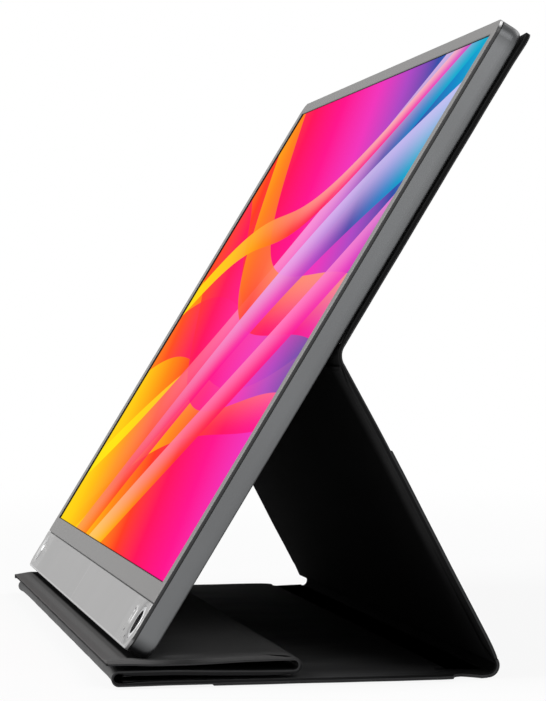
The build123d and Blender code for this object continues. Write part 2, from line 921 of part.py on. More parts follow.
with BuildPart() as port_tongue:
    with BuildSketch(side_plane(port_end - port_wall)):
        with Locations((port_height, -port_depth)):
            Rectangle(tongue_width, tongue_thick)
    extrude(amount=-tongue_length)

with BuildPart() as latch_plates:
    with BuildSketch(deep(cavity_rear - latch_thick)):
        with Locations(*latch_places):
            Rectangle(latch_length, latch_height)
    extrude(amount=-latch_thick)

# ==== Monitor: controls and the pen hole ====

with BuildPart() as pen_sleeve:
    with BuildSketch(front_plane):
        with Locations(pen_place):
            Circle(pen_flange_radius)
    extrude(amount=-plate_thick)
    chamfer(pen_sleeve.faces().sort_by(front_axis)[-1].edges(), length=edge_break)
    with BuildSketch(deep(plate_thick)):
        with Locations(pen_place):
            Circle(pen_sleeve_radius)
    extrude(amount=plate_thick - monitor_thick)
    with BuildSketch(front_plane):
        with Locations(pen_place):
            Circle(pen_radius)
    extrude(amount=-monitor_thick, mode=Mode.SUBTRACT)

with BuildPart() as key_ring:
    with BuildSketch(deep(-ring_proud)):
        with Locations(key_place):
            Circle(ring_radius)
            Circle(key_radius + running_gap, mode=Mode.SUBTRACT)
    extrude(amount=-ring_proud - plate_thick)

with BuildPart() as menu_button:
    with BuildSketch(deep(-key_proud)):
        with Locations(key_place):
            Circle(key_radius)
    extrude(amount=-key_proud - key_flange_rear)
    chamfer(menu_button.faces().sort_by(front_axis)[-1].edges(), length=edge_break)
    with BuildSketch(deep(key_flange_front)):
        with Locations(key_place):
            Circle(key_radius + key_flange)
    extrude(amount=-key_flange_thick)

with BuildPart() as menu_switch:
    with BuildSketch(deep(key_switch_front)):
        with Locations(key_place):
            Rectangle(key_switch_side, key_switch_side)
    extrude(amount=-key_switch_base)
    with BuildSketch(deep(dome_top)):
        with Locations(key_place):
            Circle(dome_radius)
    extrude(amount=dome_top - key_switch_front)

with BuildPart() as status_lens:
    with BuildSketch(front_plane):
        with Locations(lens_place):
            Circle(lens_radius)
    extrude(amount=-plate_thick)

with BuildPart() as power_button:
    with BuildSketch(side_plane(-monitor_width / 2 - power_proud)):
        with Locations((power_height, -power_depth)):
            SlotOverall(power_length, power_thick)
    extrude(amount=power_proud + side_wall + slip_gap)
    with BuildSketch(side_plane(flange_start)):
        with Locations((power_height, -power_depth)):
            Rectangle(power_flange_length, power_flange_width)
    extrude(amount=power_flange_thick)

with BuildPart() as power_switch:
    with BuildSketch(side_plane(power_switch_start)):
        with Locations((power_height, power_switch_thick / 2 - board_front)):
            Rectangle(power_switch_length, power_switch_thick)
    extrude(amount=power_switch_width)
    with BuildSketch(side_plane(plunger_tip)):
        with Locations((power_height, -power_depth)):
            Rectangle(plunger_length, plunger_thick)
    extrude(amount=power_switch_start - plunger_tip)

# ==== Files: one solid piece each ====

pieces = {
    "base_skin": base_skin,
    "base_board": base_board,
    "spine_board": spine_board,
    "base_lining": base_lining,
    "base_wrap": base_wrap,
    "leg_skin": leg_skin,
    "leg_board": leg_board,
    "leg_lining": leg_lining,
    "leg_wrap": leg_wrap,
    "back_skin": back_skin,
    "back_board": back_board,
    "back_magnets": back_magnets,
    "back_lining": back_lining,
    "flap_skin": flap_skin,
    "flap_board": flap_board,
    "flap_lining": flap_lining,
    "shelf_skin": shelf_skin,
    "shelf_board": shelf_board,
    "shelf_magnets": shelf_magnets,
    "shelf_lining": shelf_lining,
    "front_fold_skin": front_fold_skin,
    "front_fold_lining": front_fold_lining,
    "flap_fold_skin": flap_fold_skin,
    "flap_fold_lining": flap_fold_lining,
    "leg_fold_skin": leg_fold_skin,
    "leg_fold_lining": leg_fold_lining,
    "leg_fold_wrap": leg_fold_wrap,
    "back_fold_skin": back_fold_skin,
    "back_fold_lining": back_fold_lining,
    "front_bezel": front_bezel,
    "chin_plate": chin_plate,
    "edge_gasket": edge_gasket,
    "rear_housing": rear_housing,
    "mid_frame": mid_frame,
    "frame_screws": frame_screws,
    "front_film": front_film,
    "display_cell": display_cell,
    "light_sheets": light_sheets,
    "light_guide": light_guide,
    "led_bar": led_bar,
    "reflector": reflector,
    "main_board": main_board,
    "board_screws": board_screws,
    "shield_can": shield_can,
    "picture_chip": picture_chip,
    "driver_board": driver_board,
    "picture_flex": picture_flex,
    "flex_socket": flex_socket,
    "port_shell": port_shell,
    "port_tongue": port_tongue,
    "latch_plates": latch_plates,
    "pen_sleeve": pen_sleeve,
    "key_ring": key_ring,
    "menu_button": menu_button,
    "menu_switch": menu_switch,
    "status_lens": status_lens,
    "power_button": power_button,
    "power_switch": power_switch,
}

for name, made in pieces.items():
    made.part.label = name
    export_step(made.part, f"parts/{name}.step")
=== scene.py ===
# %% [markdown]
# # A thin portable monitor standing in its folding cover
# The engineering model gives every rigid part at its true size, and this lesson
# dresses it.  Metal, screen and buttons keep their shapes and get a finish each.
# The soft cover is modelled again: leather outside, suede inside, stiff boards
# between them, thin pressed hems, and bent strips where it folds.

# %% Load the frame and remember its box
import json
import math
from functools import partialmethod

import bpy
import numpy as np
from mathutils import Matrix


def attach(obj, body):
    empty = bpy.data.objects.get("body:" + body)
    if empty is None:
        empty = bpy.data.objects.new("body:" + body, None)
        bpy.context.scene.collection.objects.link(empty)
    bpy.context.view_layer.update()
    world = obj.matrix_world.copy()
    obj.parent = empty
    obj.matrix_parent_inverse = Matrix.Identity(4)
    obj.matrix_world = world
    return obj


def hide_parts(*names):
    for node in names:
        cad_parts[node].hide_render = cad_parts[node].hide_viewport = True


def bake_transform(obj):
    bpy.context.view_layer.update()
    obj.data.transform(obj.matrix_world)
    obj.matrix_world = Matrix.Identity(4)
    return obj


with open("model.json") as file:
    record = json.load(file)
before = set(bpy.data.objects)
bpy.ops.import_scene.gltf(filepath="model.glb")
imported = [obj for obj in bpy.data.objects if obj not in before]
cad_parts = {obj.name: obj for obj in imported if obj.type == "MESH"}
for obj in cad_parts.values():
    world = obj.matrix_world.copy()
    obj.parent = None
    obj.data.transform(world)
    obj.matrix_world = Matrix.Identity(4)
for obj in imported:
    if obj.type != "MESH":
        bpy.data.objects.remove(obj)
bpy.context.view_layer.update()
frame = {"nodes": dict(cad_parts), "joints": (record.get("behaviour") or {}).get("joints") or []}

mm = 0.001

# %% [markdown]
# ## Sizes
# All lengths below are millimetres.  Each flat part of the cover has its own
# ruler: a starting point, a direction along the panel and a direction towards
# its suede side.  The fold lines come from the joints, so panels and joints agree.

# %% Sizes of the monitor and the cover
monitor_height = 226.4
foot_y, foot_z = -61.0126, 11.6453  # the chin's lower front edge
screen_slope, leg_slope = math.radians(58.3), math.radians(62.26)
window_width, window_height, window_middle = 348.2, 197.8, 122.1
pen_place, key_place = (170.5, 8.8), (-168.0, 8.6)
cover_edge, notch_edge = 180.0, 167.0
board_edge, board_notch_edge = 176.0, 163.0
skin, board, lining, wrap = 0.5, 0.8, 0.5, 0.45
base_bottom, flap_top, shelf_bottom = 0.45, 5.05, 6.3
shelf_front, spine_front, notch_front = -66.9126, 44.7874, 41.0874
spine_width = 8.0
back_depth, back_top = 9.85, 227.5
leg_wrap_top, base_wrap_reach = 76.0, 88.8
fold_tail, fold_inner = 1.0, 0.8
board_setback, hem_width = 3.5, 4.0
bow_radius, bend_radius, short_tail = 5.2, 2.3, 0.3
flap_dip, base_dip, leg_bow, back_gap = 0.825, 0.15, 0.42, 0.27

joint_place = {
    joint["name"]: np.array(joint["pos_m"][1:]) / mm
    for joint in frame["joints"]
    if "pos_m" in joint
}
leg_fold, back_fold = joint_place["leg_fold"], joint_place["back_fold"]
front_fold, flap_fold = joint_place["front_fold"], joint_place["flap_fold"]

leg_along = np.array([-math.cos(leg_slope), math.sin(leg_slope)])
leg_facing = np.array([-math.sin(leg_slope), -math.cos(leg_slope)])
screen_along = np.array([math.cos(screen_slope), math.sin(screen_slope)])
screen_facing = np.array([-math.sin(screen_slope), math.cos(screen_slope)])
foot = np.array([foot_y, foot_z])
leg_length = (back_fold - leg_fold) @ leg_along
back_low = (back_fold - foot) @ screen_along

# The back fold bows: its centre lies at one distance from the leg and the back.
towards_centre = np.linalg.solve(
    -np.array([leg_facing, screen_facing]),
    np.array([leg_bow, back_gap]) + bow_radius - fold_inner,
)
bow_centre = back_fold + towards_centre
leg_end = leg_length + towards_centre @ leg_along
back_start_height = back_low + towards_centre @ screen_along

# The rear fold is wider than the joint's line: its centre moves inwards.
bend_shift = np.linalg.solve([[0, 1], leg_facing], [bend_radius - fold_inner] * 2)
bend_centre = leg_fold + bend_shift
base_rear = bend_centre[0] - short_tail
leg_start = bend_shift @ leg_along + short_tail

rulers = {
    "base": (np.array([0, base_bottom]), np.array([1, 0]), np.array([0, 1])),
    "leg": (leg_fold - (fold_inner + skin + lining) * leg_facing, leg_along, leg_facing),
    "back": (foot - back_depth * screen_facing, screen_along, screen_facing),
    "flap": (np.array([0, flap_top]), np.array([-1, 0]), np.array([0, -1])),
    "shelf": (np.array([0, shelf_bottom]), np.array([1, 0]), np.array([0, 1])),
}
print(f"leg {leg_length:.1f} mm long, its fold {back_low:.1f} mm up the monitor's back")

# %% [markdown]
# ## Outlines
# A panel's outline is worked out from its corner points.  Drawing it in by a
# distance gives the same number of points again, so a stack of outlines, each at
# its own inset and height, is already a grid of faces.

# %% Corner points and rounded outlines
TIGHT = 0.04  # radius of a square corner
TURNS = 7  # points on each corner
RUNS = 36  # points between two corners
LONG_RUN = 5  # a run going up by more than this is a side edge


def panel_corners(low, high, edge, cut=0.0, neck=0.0):
    """Right half going up, with a cut beside its top, then its mirror image."""
    cut_corners = [(edge, high - cut), (neck, high - cut), (neck, high)]
    right = np.array([(edge, low)] + (cut_corners if cut else [(edge, high)]), float)
    return np.vstack([right, right[::-1] * (-1, 1)])


def corner_radii(low_radii, high_radii):
    """Radii in the same order as the corners: up the right side, down the left."""
    right = np.array(low_radii + high_radii, float)
    return np.concatenate([right, right[::-1]])


def unit(vectors):
    """Vectors of length 1 in the same directions."""
    return vectors / np.linalg.norm(vectors, axis=-1, keepdims=True)


def left_of(direction):
    """Directions turned a quarter turn to the left."""
    return np.stack([-direction[:, 1], direction[:, 0]], axis=1)


def outline(corners, radii, inset=0.0):
    """Closed outline drawn in by inset.

    A corner moves by the inset along both inward normals.  An outer corner's
    radius shrinks by the inset and an inner corner's grows.  Each quarter turn is
    centre + radius * (arriving * sin - leaving * cos), and even steps join it to
    the next turn.
    """
    arrive = unit(corners - np.roll(corners, 1, axis=0))
    leave = np.roll(arrive, -1, axis=0)
    outer = arrive[:, 0] * leave[:, 1] - arrive[:, 1] * leave[:, 0] > 0
    moved = corners + inset * (left_of(arrive) + left_of(leave))
    radius = np.maximum(np.where(outer, radii - inset, radii + inset), TIGHT)
    centre = moved + radius[:, None] * (leave - arrive)
    angle = np.linspace(0, math.pi / 2, TURNS)[None, :, None]
    turn = centre[:, None] + radius[:, None, None] * (
        arrive[:, None] * np.sin(angle) - leave[:, None] * np.cos(angle)
    )
    share = np.linspace(0, 1, RUNS + 2)[None, 1:-1, None]
    run = turn[:, -1:] + share * (np.roll(turn[:, :1], -1, axis=0) - turn[:, -1:])
    return np.concatenate([turn, run], axis=1).reshape(-1, 2)


def lid_parts(corners):
    """Polygons that close an outline from side to side, as rows of point numbers.

    Each point of a long side edge is joined to its mirror image, which gives
    narrow quads that can follow a bow.  One polygon is left over at each end.
    """
    step = TURNS + RUNS
    around, mirror = len(corners) * step, (len(corners) - 1) * step + TURNS - 1
    rungs = []
    for corner in range(len(corners) // 2 - 1):
        if corners[corner + 1, 1] - corners[corner, 1] > LONG_RUN:
            start = corner * step + TURNS - 1
            rungs += range(start, start + RUNS + 2)
    parts = [
        [*range(a, b + 1), *range(mirror - b, mirror - a + 1)] for a, b in zip(rungs, rungs[1:])
    ]
    first, last = rungs[0], rungs[-1]
    parts.append([*range(last, mirror - last + 1)])
    parts.append([*range(mirror - first, around), *range(first + 1)])
    return [np.array(part) for part in parts]


print("points round a plain panel:", 4 * (TURNS + RUNS))

# %% [markdown]
# ## From rings to a closed mesh
# Rings of equal length are joined by quads, and the first and last rings get a
# lid.  The signed volume says whether the faces point outwards, and if it is
# negative every face is turned round.  Points on the cut edge carry a mark, so
# that the finish can show the paler, felt-like raw edge there.

# %% Mesh helpers
SMOOTH_UNDER = math.radians(38.0)


def ring_faces(rings, around, lid):
    """Quads between neighbouring rings, and the polygons of a lid at each end."""
    here = np.arange(rings * around).reshape(rings, around)
    ahead = np.roll(here, -1, axis=1)
    quads = np.stack([here[:-1], ahead[:-1], ahead[1:], here[1:]], axis=-1)
    lids = [here[0][part[::-1]] for part in lid] + [here[-1][part] for part in lid]
    return quads.reshape(-1, 4), lids


def signed_volume(points, quads, lids):
    """Sum of the tetrahedra from the first point to every triangle."""
    lid_triangles = [
        np.stack([np.full(len(lid) - 2, lid[0]), lid[1:-1], lid[2:]], axis=1) for lid in lids
    ]
    triangles = np.vstack([quads[:, [0, 1, 2]], quads[:, [0, 2, 3]], *lid_triangles])
    a, b, c = (points[triangles[:, k]] - points[0] for k in range(3))
    return np.einsum("ij,ij->i", a, np.cross(b, c)).sum() / 6


def in_scene(name, data):
    """A new object of the scene."""
    made = bpy.data.objects.new(name, data)
    bpy.context.scene.collection.objects.link(made)
    return made


def closed_piece(name, shells):
    """One mesh from stacks of rings, their marks and lids."""
    points, faces, cut = [], [], []
    start = 0
    for rings, marks, lid in shells:
        flat = rings.reshape(-1, 3)
        quads, lids = ring_faces(*rings.shape[:2], lid)
        if signed_volume(flat, quads, lids) < 0:
            quads, lids = quads[:, ::-1], [lid[::-1] for lid in lids]
        faces += (quads + start).tolist() + [(lid + start).tolist() for lid in lids]
        points.append(flat)
        cut.append(marks.ravel())
        start += len(flat)
    mesh = bpy.data.meshes.new(name)
    mesh.from_pydata((np.vstack(points) * mm).tolist(), [], faces)
    mesh.attributes.new("cut_edge", "FLOAT", "POINT").data.foreach_set(
        "value", np.concatenate(cut).astype(np.float32)
    )
    mesh.polygons.foreach_set("use_smooth", np.ones(len(faces), bool))
    mesh.set_sharp_from_angle(angle=SMOOTH_UNDER)
    print(f"{name}: {len(faces)} faces")
    return in_scene(name, mesh)


# %% [markdown]
# ## A small language for finishes
# A finish is a graph of nodes.  Written node by node it hides the idea, so a
# socket is wrapped in a class that understands + - and *, and every other node
# comes from one method.  Then a pattern reads like the formula that it is.

# %% Shader expressions


class Wire:
    """A node's output.  An operator on it adds the Math node of that name."""

    def __init__(self, graph, socket):
        self.graph, self.socket = graph, socket

    def maths(self, operation, *others, swap=False):
        values = (*others, self) if swap else (self, *others)
        return self.graph.node("ShaderNodeMath", {"operation": operation}, dict(enumerate(values)))

    __add__ = partialmethod(maths, "ADD")
    __sub__ = partialmethod(maths, "SUBTRACT")
    __rsub__ = partialmethod(maths, "SUBTRACT", swap=True)
    __mul__ = partialmethod(maths, "MULTIPLY")
    sine = partialmethod(maths, "SINE")
    size = partialmethod(maths, "ABSOLUTE")
    root = partialmethod(maths, "SQRT")
    power = partialmethod(maths, "POWER")
    angle_from = partialmethod(maths, "ARCTAN2")
    greatest = partialmethod(maths, "MAXIMUM")

    def smooth(self, low, high):
        """0 at low, 1 at high and a smooth step between them."""
        return self.graph.node(
            "ShaderNodeMapRange",
            {"interpolation_type": "SMOOTHSTEP"},
            {"Value": self, "From Min": low, "From Max": high},
        )


class Graph:
    """The nodes of a material or of the world."""

    def __init__(self, owner):
        owner.use_nodes = True
        self.nodes, self.links = owner.node_tree.nodes, owner.node_tree.links

    def node(self, kind, settings, values, out=0):
        """Adds a node: its settings first, then the values or links of its sockets."""
        made = self.nodes.new(kind)
        for key, value in settings.items():
            if key == "stops":
                elements = made.color_ramp.elements
                elements.remove(elements[1])
                elements[0].position, elements[0].color = value[0][0], (*value[0][1], 1)
                for place, colour in value[1:]:
                    elements.new(place).color = (*colour, 1)
            else:
                setattr(made, key, value)
        for key, value in values.items():
            self.join(made.inputs[key], value)
        return Wire(self, made.outputs[out])

    def join(self, socket, value):
        """Gives any socket a link or a value.  One number for a colour is a grey."""
        if isinstance(value, Wire):
            self.links.new(value.socket, socket)
        elif socket.type == "RGBA":
            socket.default_value = (*(value if isinstance(value, tuple) else (value,) * 3), 1)
        else:
            socket.default_value = value


class Finish(Graph):
    """One material: a Principled shader and the nodes that feed it."""

    def __init__(self, name, constants):
        self.slot = name
        self.material = bpy.data.materials.new(name)
        super().__init__(self.material)
        self.shader = self.nodes["Principled BSDF"]
        for socket, value in constants.items():
            self.feed(socket, value)

    def feed(self, socket, value):
        """Gives one socket of the Principled shader a value or a pattern."""
        self.join(self.shader.inputs[socket], value)

    def place(self):
        """The point on the piece, in metres, as it lies at rest."""
        return self.node("ShaderNodeTexCoord", {}, {}, out="Object")

    def ruler(self, start=(0, 0, 0), tilt=0.0):
        """Millimetres along x, y and z from a start, with y and z tilted about x."""
        turned = self.node(
            "ShaderNodeMapping",
            {"vector_type": "TEXTURE"},
            {
                "Vector": self.place(),
                "Location": start,
                "Rotation": (tilt, 0, 0),
                "Scale": (mm, mm, mm),
            },
        )
        return [self.node("ShaderNodeSeparateXYZ", {}, {0: turned}, out=axis) for axis in "XYZ"]

    def on_screen_plane(self):
        """Millimetres across, up and out of the monitor's front face."""
        return self.ruler((0, foot_y * mm, foot_z * mm), screen_slope)

    def noise(self, place, scale, detail=3.0, roughness=0.5):
        return self.node(
            "ShaderNodeTexNoise",
            {},
            {"Vector": place, "Scale": scale, "Detail": detail, "Roughness": roughness},
        )

    def cells(self, place, scale):
        return self.node("ShaderNodeTexVoronoi", {}, {"Vector": place, "Scale": scale})

    def stretched(self, place, scale):
        return self.node("ShaderNodeMapping", {}, {"Vector": place, "Scale": scale})

    def ramp(self, value, *stops):
        return self.node("ShaderNodeValToRGB", {"stops": stops}, {0: value})

    def blend(self, share, first, second):
        return self.node(
            "ShaderNodeMix", {"data_type": "RGBA"}, {0: share, 6: first, 7: second}, out=2
        )

    def mark(self, name):
        return self.node("ShaderNodeAttribute", {"attribute_name": name}, {}, out="Fac")

    def relief(self, height, depth):
        """Bump whose height of 0 to 1 stands for depth millimetres."""
        bumped = self.node(
            "ShaderNodeBump", {}, {"Strength": 1.0, "Distance": depth * mm, "Height": height}
        )
        self.feed("Normal", bumped)

    def coat(self, tone, roughness, height, depth):
        """Colour, roughness and relief together."""
        self.feed("Base Color", tone)
        self.feed("Roughness", roughness)
        self.relief(height, depth)

    def wear(self, *nodes):
        """Puts this finish on nodes of the engineering model."""
        for name in nodes:
            mesh = frame["nodes"][name].data
            mesh.materials.clear()
            mesh.materials.append(self.material)


# %% [markdown]
# ## Leather and suede
# The outside is coated leather: near black, a fine pebble, slightly glossy, and
# a little uneven where hands rub it; along the shelf's front its cut edge is
# painted black as shade.  The inside is suede-like microfibre with light and
# shade painted into its colour: grey where light falls, on the open part of the
# base and along the leg's rim, a painted pool of light on the shelf's front strip
# and on its rear part, and near black in painted shade towards the spine, under
# the chin and along the shelf's front lip.  Cut edges have a tone of their own,
# which follows the same painted light and shade.

# %% Cover finishes


def leather():
    """Pebbles of 0.9 mm, rubbed patches of 30 mm, a raw cut edge, and painted shade on it at the
    shelf's front.
    """
    finish = Finish("leather_black", {"Specular IOR Level": 0.3})
    place = finish.place()
    pebble = finish.cells(place, 1100.0)
    crease = finish.noise(place, 260.0, 4.0, 0.6)
    rubbed = finish.noise(place, 32.0, 2.0)
    cut = finish.mark("cut_edge")
    fibre = finish.noise(place, 1500.0, 2.0, 0.7)
    hide = finish.blend(rubbed, (0.007, 0.007, 0.0075), (0.012, 0.012, 0.0125))
    hide = finish.blend(crease * 0.35, hide, (0.004, 0.004, 0.0045))
    # painted shade: the cut edge turns black along the shelf's front, where the gap below it lies
    # in shade
    shelf_lip_shade = finish.ruler()[1].smooth(-66.0, -66.5)
    cut_tone = finish.blend(shelf_lip_shade, (0.025, 0.025, 0.026), 0.0)
    gloss = rubbed * 0.14 + crease * 0.1 + cut * 0.3 + 0.44
    height = pebble * 0.45 + crease * 0.4 + cut * fibre
    finish.coat(finish.blend(cut, hide, cut_tone), gloss, height, 0.09)
    return finish


def suede():
    """Short nap: fine fibres, brushed patches of 25 mm, and painted light and shade.

    Every painted place is a product of smooth steps along x, y and z in millimetres.
    """
    finish = Finish(
        "suede_black",
        {
            "Sheen Weight": 0.012,
            "Sheen Roughness": 0.5,
            "Sheen Tint": (0.8, 0.8, 0.82),
            "Specular IOR Level": 0.004,
        },
    )
    place = finish.place()
    across, rear, raised = finish.ruler()
    nap = finish.noise(place, 1900.0, 3.0, 0.75)
    brushed = finish.noise(finish.stretched(place, (1.0, 0.45, 1.0)), 40.0, 3.0)
    grey = finish.blend(brushed.smooth(0.3, 0.7), (0.045, 0.045, 0.046), (0.065, 0.065, 0.066))
    # painted light along the leg's rim beside the open near side, fading lower down
    leg_rim_light = across.smooth(160, 174) * raised.smooth(15, 60) * 0.45
    # painted light and shade: grey where light falls on the front of the base, near black in
    # painted shade towards the spine and up the leg
    lit_share = (rear.smooth(46, -5) * raised.smooth(20, 10)).greatest(leg_rim_light)
    pile = finish.blend(lit_share, (0.0009, 0.0009, 0.001), grey)
    # the cut edge follows the same painted light and shade
    cut_tone = finish.blend(lit_share, 0.006, (0.016, 0.016, 0.0165))
    pile = finish.blend(finish.mark("cut_edge"), pile, cut_tone)

    shelf_top = raised.smooth(5.7, 6.1) * rear.smooth(-5, -12)
    # painted light: the shelf's rear part is lightened where the monitor's shadow falls on it
    shelf_rear_light = shelf_top * rear.smooth(-50, -30)
    pile = finish.blend(shelf_rear_light * 0.7, pile, (0.085, 0.084, 0.084))
    near_hem = across.smooth(173.5, 176.5)
    # painted shadow: the shelf is near black in a band under the chin
    chin_shadow = shelf_top * rear.smooth(-50, -56) * (1 - near_hem)
    pile = finish.blend(chin_shadow, pile, (0.0022, 0.0021, 0.0021))
    # painted pool of light on the shelf's front strip before the chin and along its near hem
    front_strip_light = rear.smooth(-59.4, -60.6).greatest(near_hem * rear.smooth(-40, -60.5))
    pile = finish.blend(front_strip_light * shelf_top, pile, (0.115, 0.113, 0.113))
    # painted shade: a black line along the shelf's front lip
    front_lip_shade = rear.smooth(-66.2, -66.6) * raised.smooth(7.6, 7.4) * shelf_top
    pile = finish.blend(front_lip_shade, pile, 0.0004)
    finish.coat(pile, nap * 0.15 + 0.82, nap + brushed * 0.4, 0.12)
    return finish


def fibreboard():
    """Pressed paper fibre: long pale flecks in a grey-brown ground."""
    finish = Finish("fibreboard", {"Specular IOR Level": 0.2})
    place = finish.place()
    fleck = finish.noise(finish.stretched(place, (1.0, 4.0, 4.0)), 420.0, 4.0, 0.7)
    tone = finish.ramp(fleck, (0.3, (0.14, 0.12, 0.1)), (0.7, (0.32, 0.28, 0.23)))
    finish.coat(tone, fleck * 0.2 + 0.75, fleck, 0.08)
    return finish


leather_black = leather()
suede_black = suede()
fibre_brown = fibreboard()
print("cover finishes ready")

# %% [markdown]
# ## Cover panels
# Each panel is three closed sheets.  Leather and board are flat, with a softly
# rounded cut edge.  The suede is a thin hem at the edge and rises over the board
# in a soft shoulder.  Cut edges wander by a tenth of a millimetre, but not beside
# a fold, where the next piece has to meet them.  The sheets also sag and bow a
# little: a panel's drape is a lift along its ruler.

# %% Panel sheets


def wander(flat, low_fold, high_fold):
    """Small sideways error of the cut edge, fading out beside the folds."""
    x, along = flat.T
    error = 0.55 * np.sin(x / 5.3 + along / 7.1) + 0.45 * np.sin(x / 2.1 - along / 3.3 + 1.7)
    free = np.ones(len(flat))
    for fold in (low_fold, high_fold):
        if fold is not None:
            free *= np.clip((np.abs(along - fold) - 0.3) / 6.0, 0, 1)
    return error, free


def ease(first, last, low, high):
    """Places and lifts of a smooth slope between two levels."""
    share = np.linspace(0, 1, 9)
    return first + (last - first) * share, low + (high - low) * (3 * share**2 - 2 * share**3)


drape = {
    "base": ease(front_fold[0], -32.0, -base_dip, 0.0),
    "leg": ((2, 25, 50, 66, 80, 92, leg_end), (0, -0.1, -0.36, -0.55, -0.7, -0.6, -leg_bow)),
    "back": ((back_low, 200, 216, back_top), (-back_gap, -back_gap, -0.36, -0.85)),
    "flap": ease(15.0, 50.0, flap_dip, 0.0),
    "shelf": ((shelf_front, -61, -58, -54, -50, -40, -32, -24, -15),
              (0.45, 0.45, 0.36, 0.12, 0, 0.12, 0.4, 0.7, flap_dip)),
}
side_fill = dict.fromkeys(rulers, 0.5) | {"flap": 0.6, "shelf": 0.9}
# neck, places along the panel, and the edge's distance from the middle there
near_cut = {
    "base": (notch_edge, (36, 41.1, 42.5, 44.5, 47, 50, 52),
             (notch_edge, 176, 173, 172, 174.5, 178.5, 177.5)),
    "leg": (cover_edge, (leg_start, 5, 8, 11), (176.6, 178.2, 179.5, cover_edge)),
}
strip_near_edge = 176.8
WAVINESS = 0.09  # sideways error of a cut edge
FACE_INSET = 0.8  # where a cut edge has passed into the flat face
GAP = 0.02  # kept between a board and the sheets round it


def near_side(panel, drawn):
    """Moves the cut's edge on the right-hand side, where it is much shallower.

    Up to the neck x is multiplied by width / neck.  Beyond it the distance to the
    cover's edge is multiplied by the share of the cut's depth that is left.
    """
    neck, places, widths = near_cut[panel]
    x, width = drawn[:, 0], np.interp(drawn[:, 1], places, widths)
    outside = cover_edge - (cover_edge - x) * (cover_edge - width) / (cover_edge - notch_edge)
    moved = np.where(x <= neck, x * width / neck, outside)
    return np.column_stack([np.where(x > 0, moved, x), drawn[:, 1]])


def corner_droop(drawn):
    """Droop of the shelf's far front corner: 0.9 mm over 12 by 6 mm."""
    far = np.clip((-168.0 - drawn[:, 0]) / 12.0, 0, 1)
    front = np.clip((-60.5 - drawn[:, 1]) / 6.0, 0, 1)
    return 0.9 * far * front


def panel_rings(panel, edge, rows, folds):
    """Stack of outlines, one for every row of corners, radii, inset, height,
    share of the waviness, and growth at the panel's two side edges."""
    corner, along, facing = rulers[panel]
    plain = outline(*edge)
    normal = unit(plain - outline(*edge, 0.5))
    error, free = wander(plain, *folds)
    rings = []
    for corners, radii, inset, height, share, growth in rows:
        drawn = outline(corners, radii, inset)
        if 0 < inset < 0.3:
            drawn = plain + (drawn - plain) * free[:, None]
        drawn = drawn + normal * (WAVINESS * share * error * free)[:, None]
        if panel in near_cut and corners is edge[0] and folds != (None, None):
            drawn = near_side(panel, drawn)
        beside = np.clip((np.abs(drawn[:, 0]) - board_edge + 4) / 3, 0, 1) * side_fill[panel]
        lift = height + 0.5 * WAVINESS * share * error * free + growth * beside * free
        lift += np.interp(drawn[:, 1], *drape[panel])
        if panel == "shelf":
            lift -= corner_droop(drawn)
        yz = corner + drawn[:, 1:] * along + lift[:, None] * facing
        rings.append(np.column_stack([drawn[:, 0], yz]))
    return np.array(rings)


def leather_rows(edge, thick=skin, top=0.0):
    """Sheet of leather: flat face, rounded cut edge, flat face."""
    cut = [(0.14, 0), (0.05, 0.03), (0, 0.11)]
    cut += [(0, thick - 0.11), (0.05, thick - 0.03), (0.12, thick)]
    rows = [(*edge, FACE_INSET, top, 0, 0)]
    rows += [(*edge, inset, top + height, 1, 0) for inset, height in cut]
    rows += [(*edge, FACE_INSET, top + thick, 0, 0)]
    return rows


def suede_rows(edge, stiffener, full, slope):
    """Suede: pocket over the board, flat hem, rounded cut edge, soft shoulder."""
    low, high, top = skin, skin + lining, skin + board + GAP
    rows = [(*stiffener, 0.9, top, 0, 0), (*stiffener, -GAP, top, 0, 0)]
    rows += [(*stiffener, -GAP, low + GAP / 2, 0, 0), (*edge, 0.75, low, 1, 0)]
    cut = [(0.12, low), (0.05, low + 0.03), (0, low + 0.11), (0, high - 0.12), (0.05, high - 0.03)]
    cut += [(0.14, high), (0.75, high)]
    rows += [
        (*edge, inset, height, 1, (full - high) * (height - low) / (high - low))
        for inset, height in cut
    ]
    rows += [
        (*stiffener, inset, height, 0, full - height)
        for inset, height in shoulder(high, full, *slope)
    ]
    return rows


def shoulder(low, full, start, end):
    """Soft step over the board's edge: insets and heights of a smooth S."""
    return [*zip(*ease(start, end, low, full)), (end + 0.2, full)]


def edge_marks(rows, rings):
    """1 on the rows of the cut edge and 0 on the faces."""
    cut = np.array([1.0 if inset < 0.1 and share else 0.0 for *_, inset, _, share, _ in rows])
    return np.repeat(cut[:, None], rings.shape[1], axis=1)


def sheet(panel, edge, rows, folds=(None, None)):
    """Rings, marks and lids of one closed sheet."""
    rings = panel_rings(panel, edge, rows, folds)
    return rings, edge_marks(rows, rings), lid_parts(edge[0])


def add_sheet(name, panel, edge, rows, folds, finish, node, *cushions):
    """One sheet of a panel, riding on its body in place of its solid."""
    piece = closed_piece(name, [sheet(panel, edge, rows, folds), *cushions])
    settle(piece, panel_body[panel], finish, node)


def settle(piece, body, finish, *nodes):
    """Finish, body and the nodes that the piece stands for."""
    piece.data.materials.append(finish.material)
    if body:
        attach(piece, body)
    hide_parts(*nodes)


panel_body = {panel: panel for panel in rulers} | {"back": "back_panel"}
print("panels:", ", ".join(panel_body))

# %% [markdown]
# ## Cutting the five panels
# The numbers are those of the engineering model: where a panel starts and ends
# along its own ruler, how deep it is notched beside a fold, and how its corners
# are rounded.  A board sits a hem's width inside each cut edge.

# %% Panels
square, rear_round = [TIGHT], [5.0, 5.0, TIGHT]
rear_cut = base_rear - notch_front


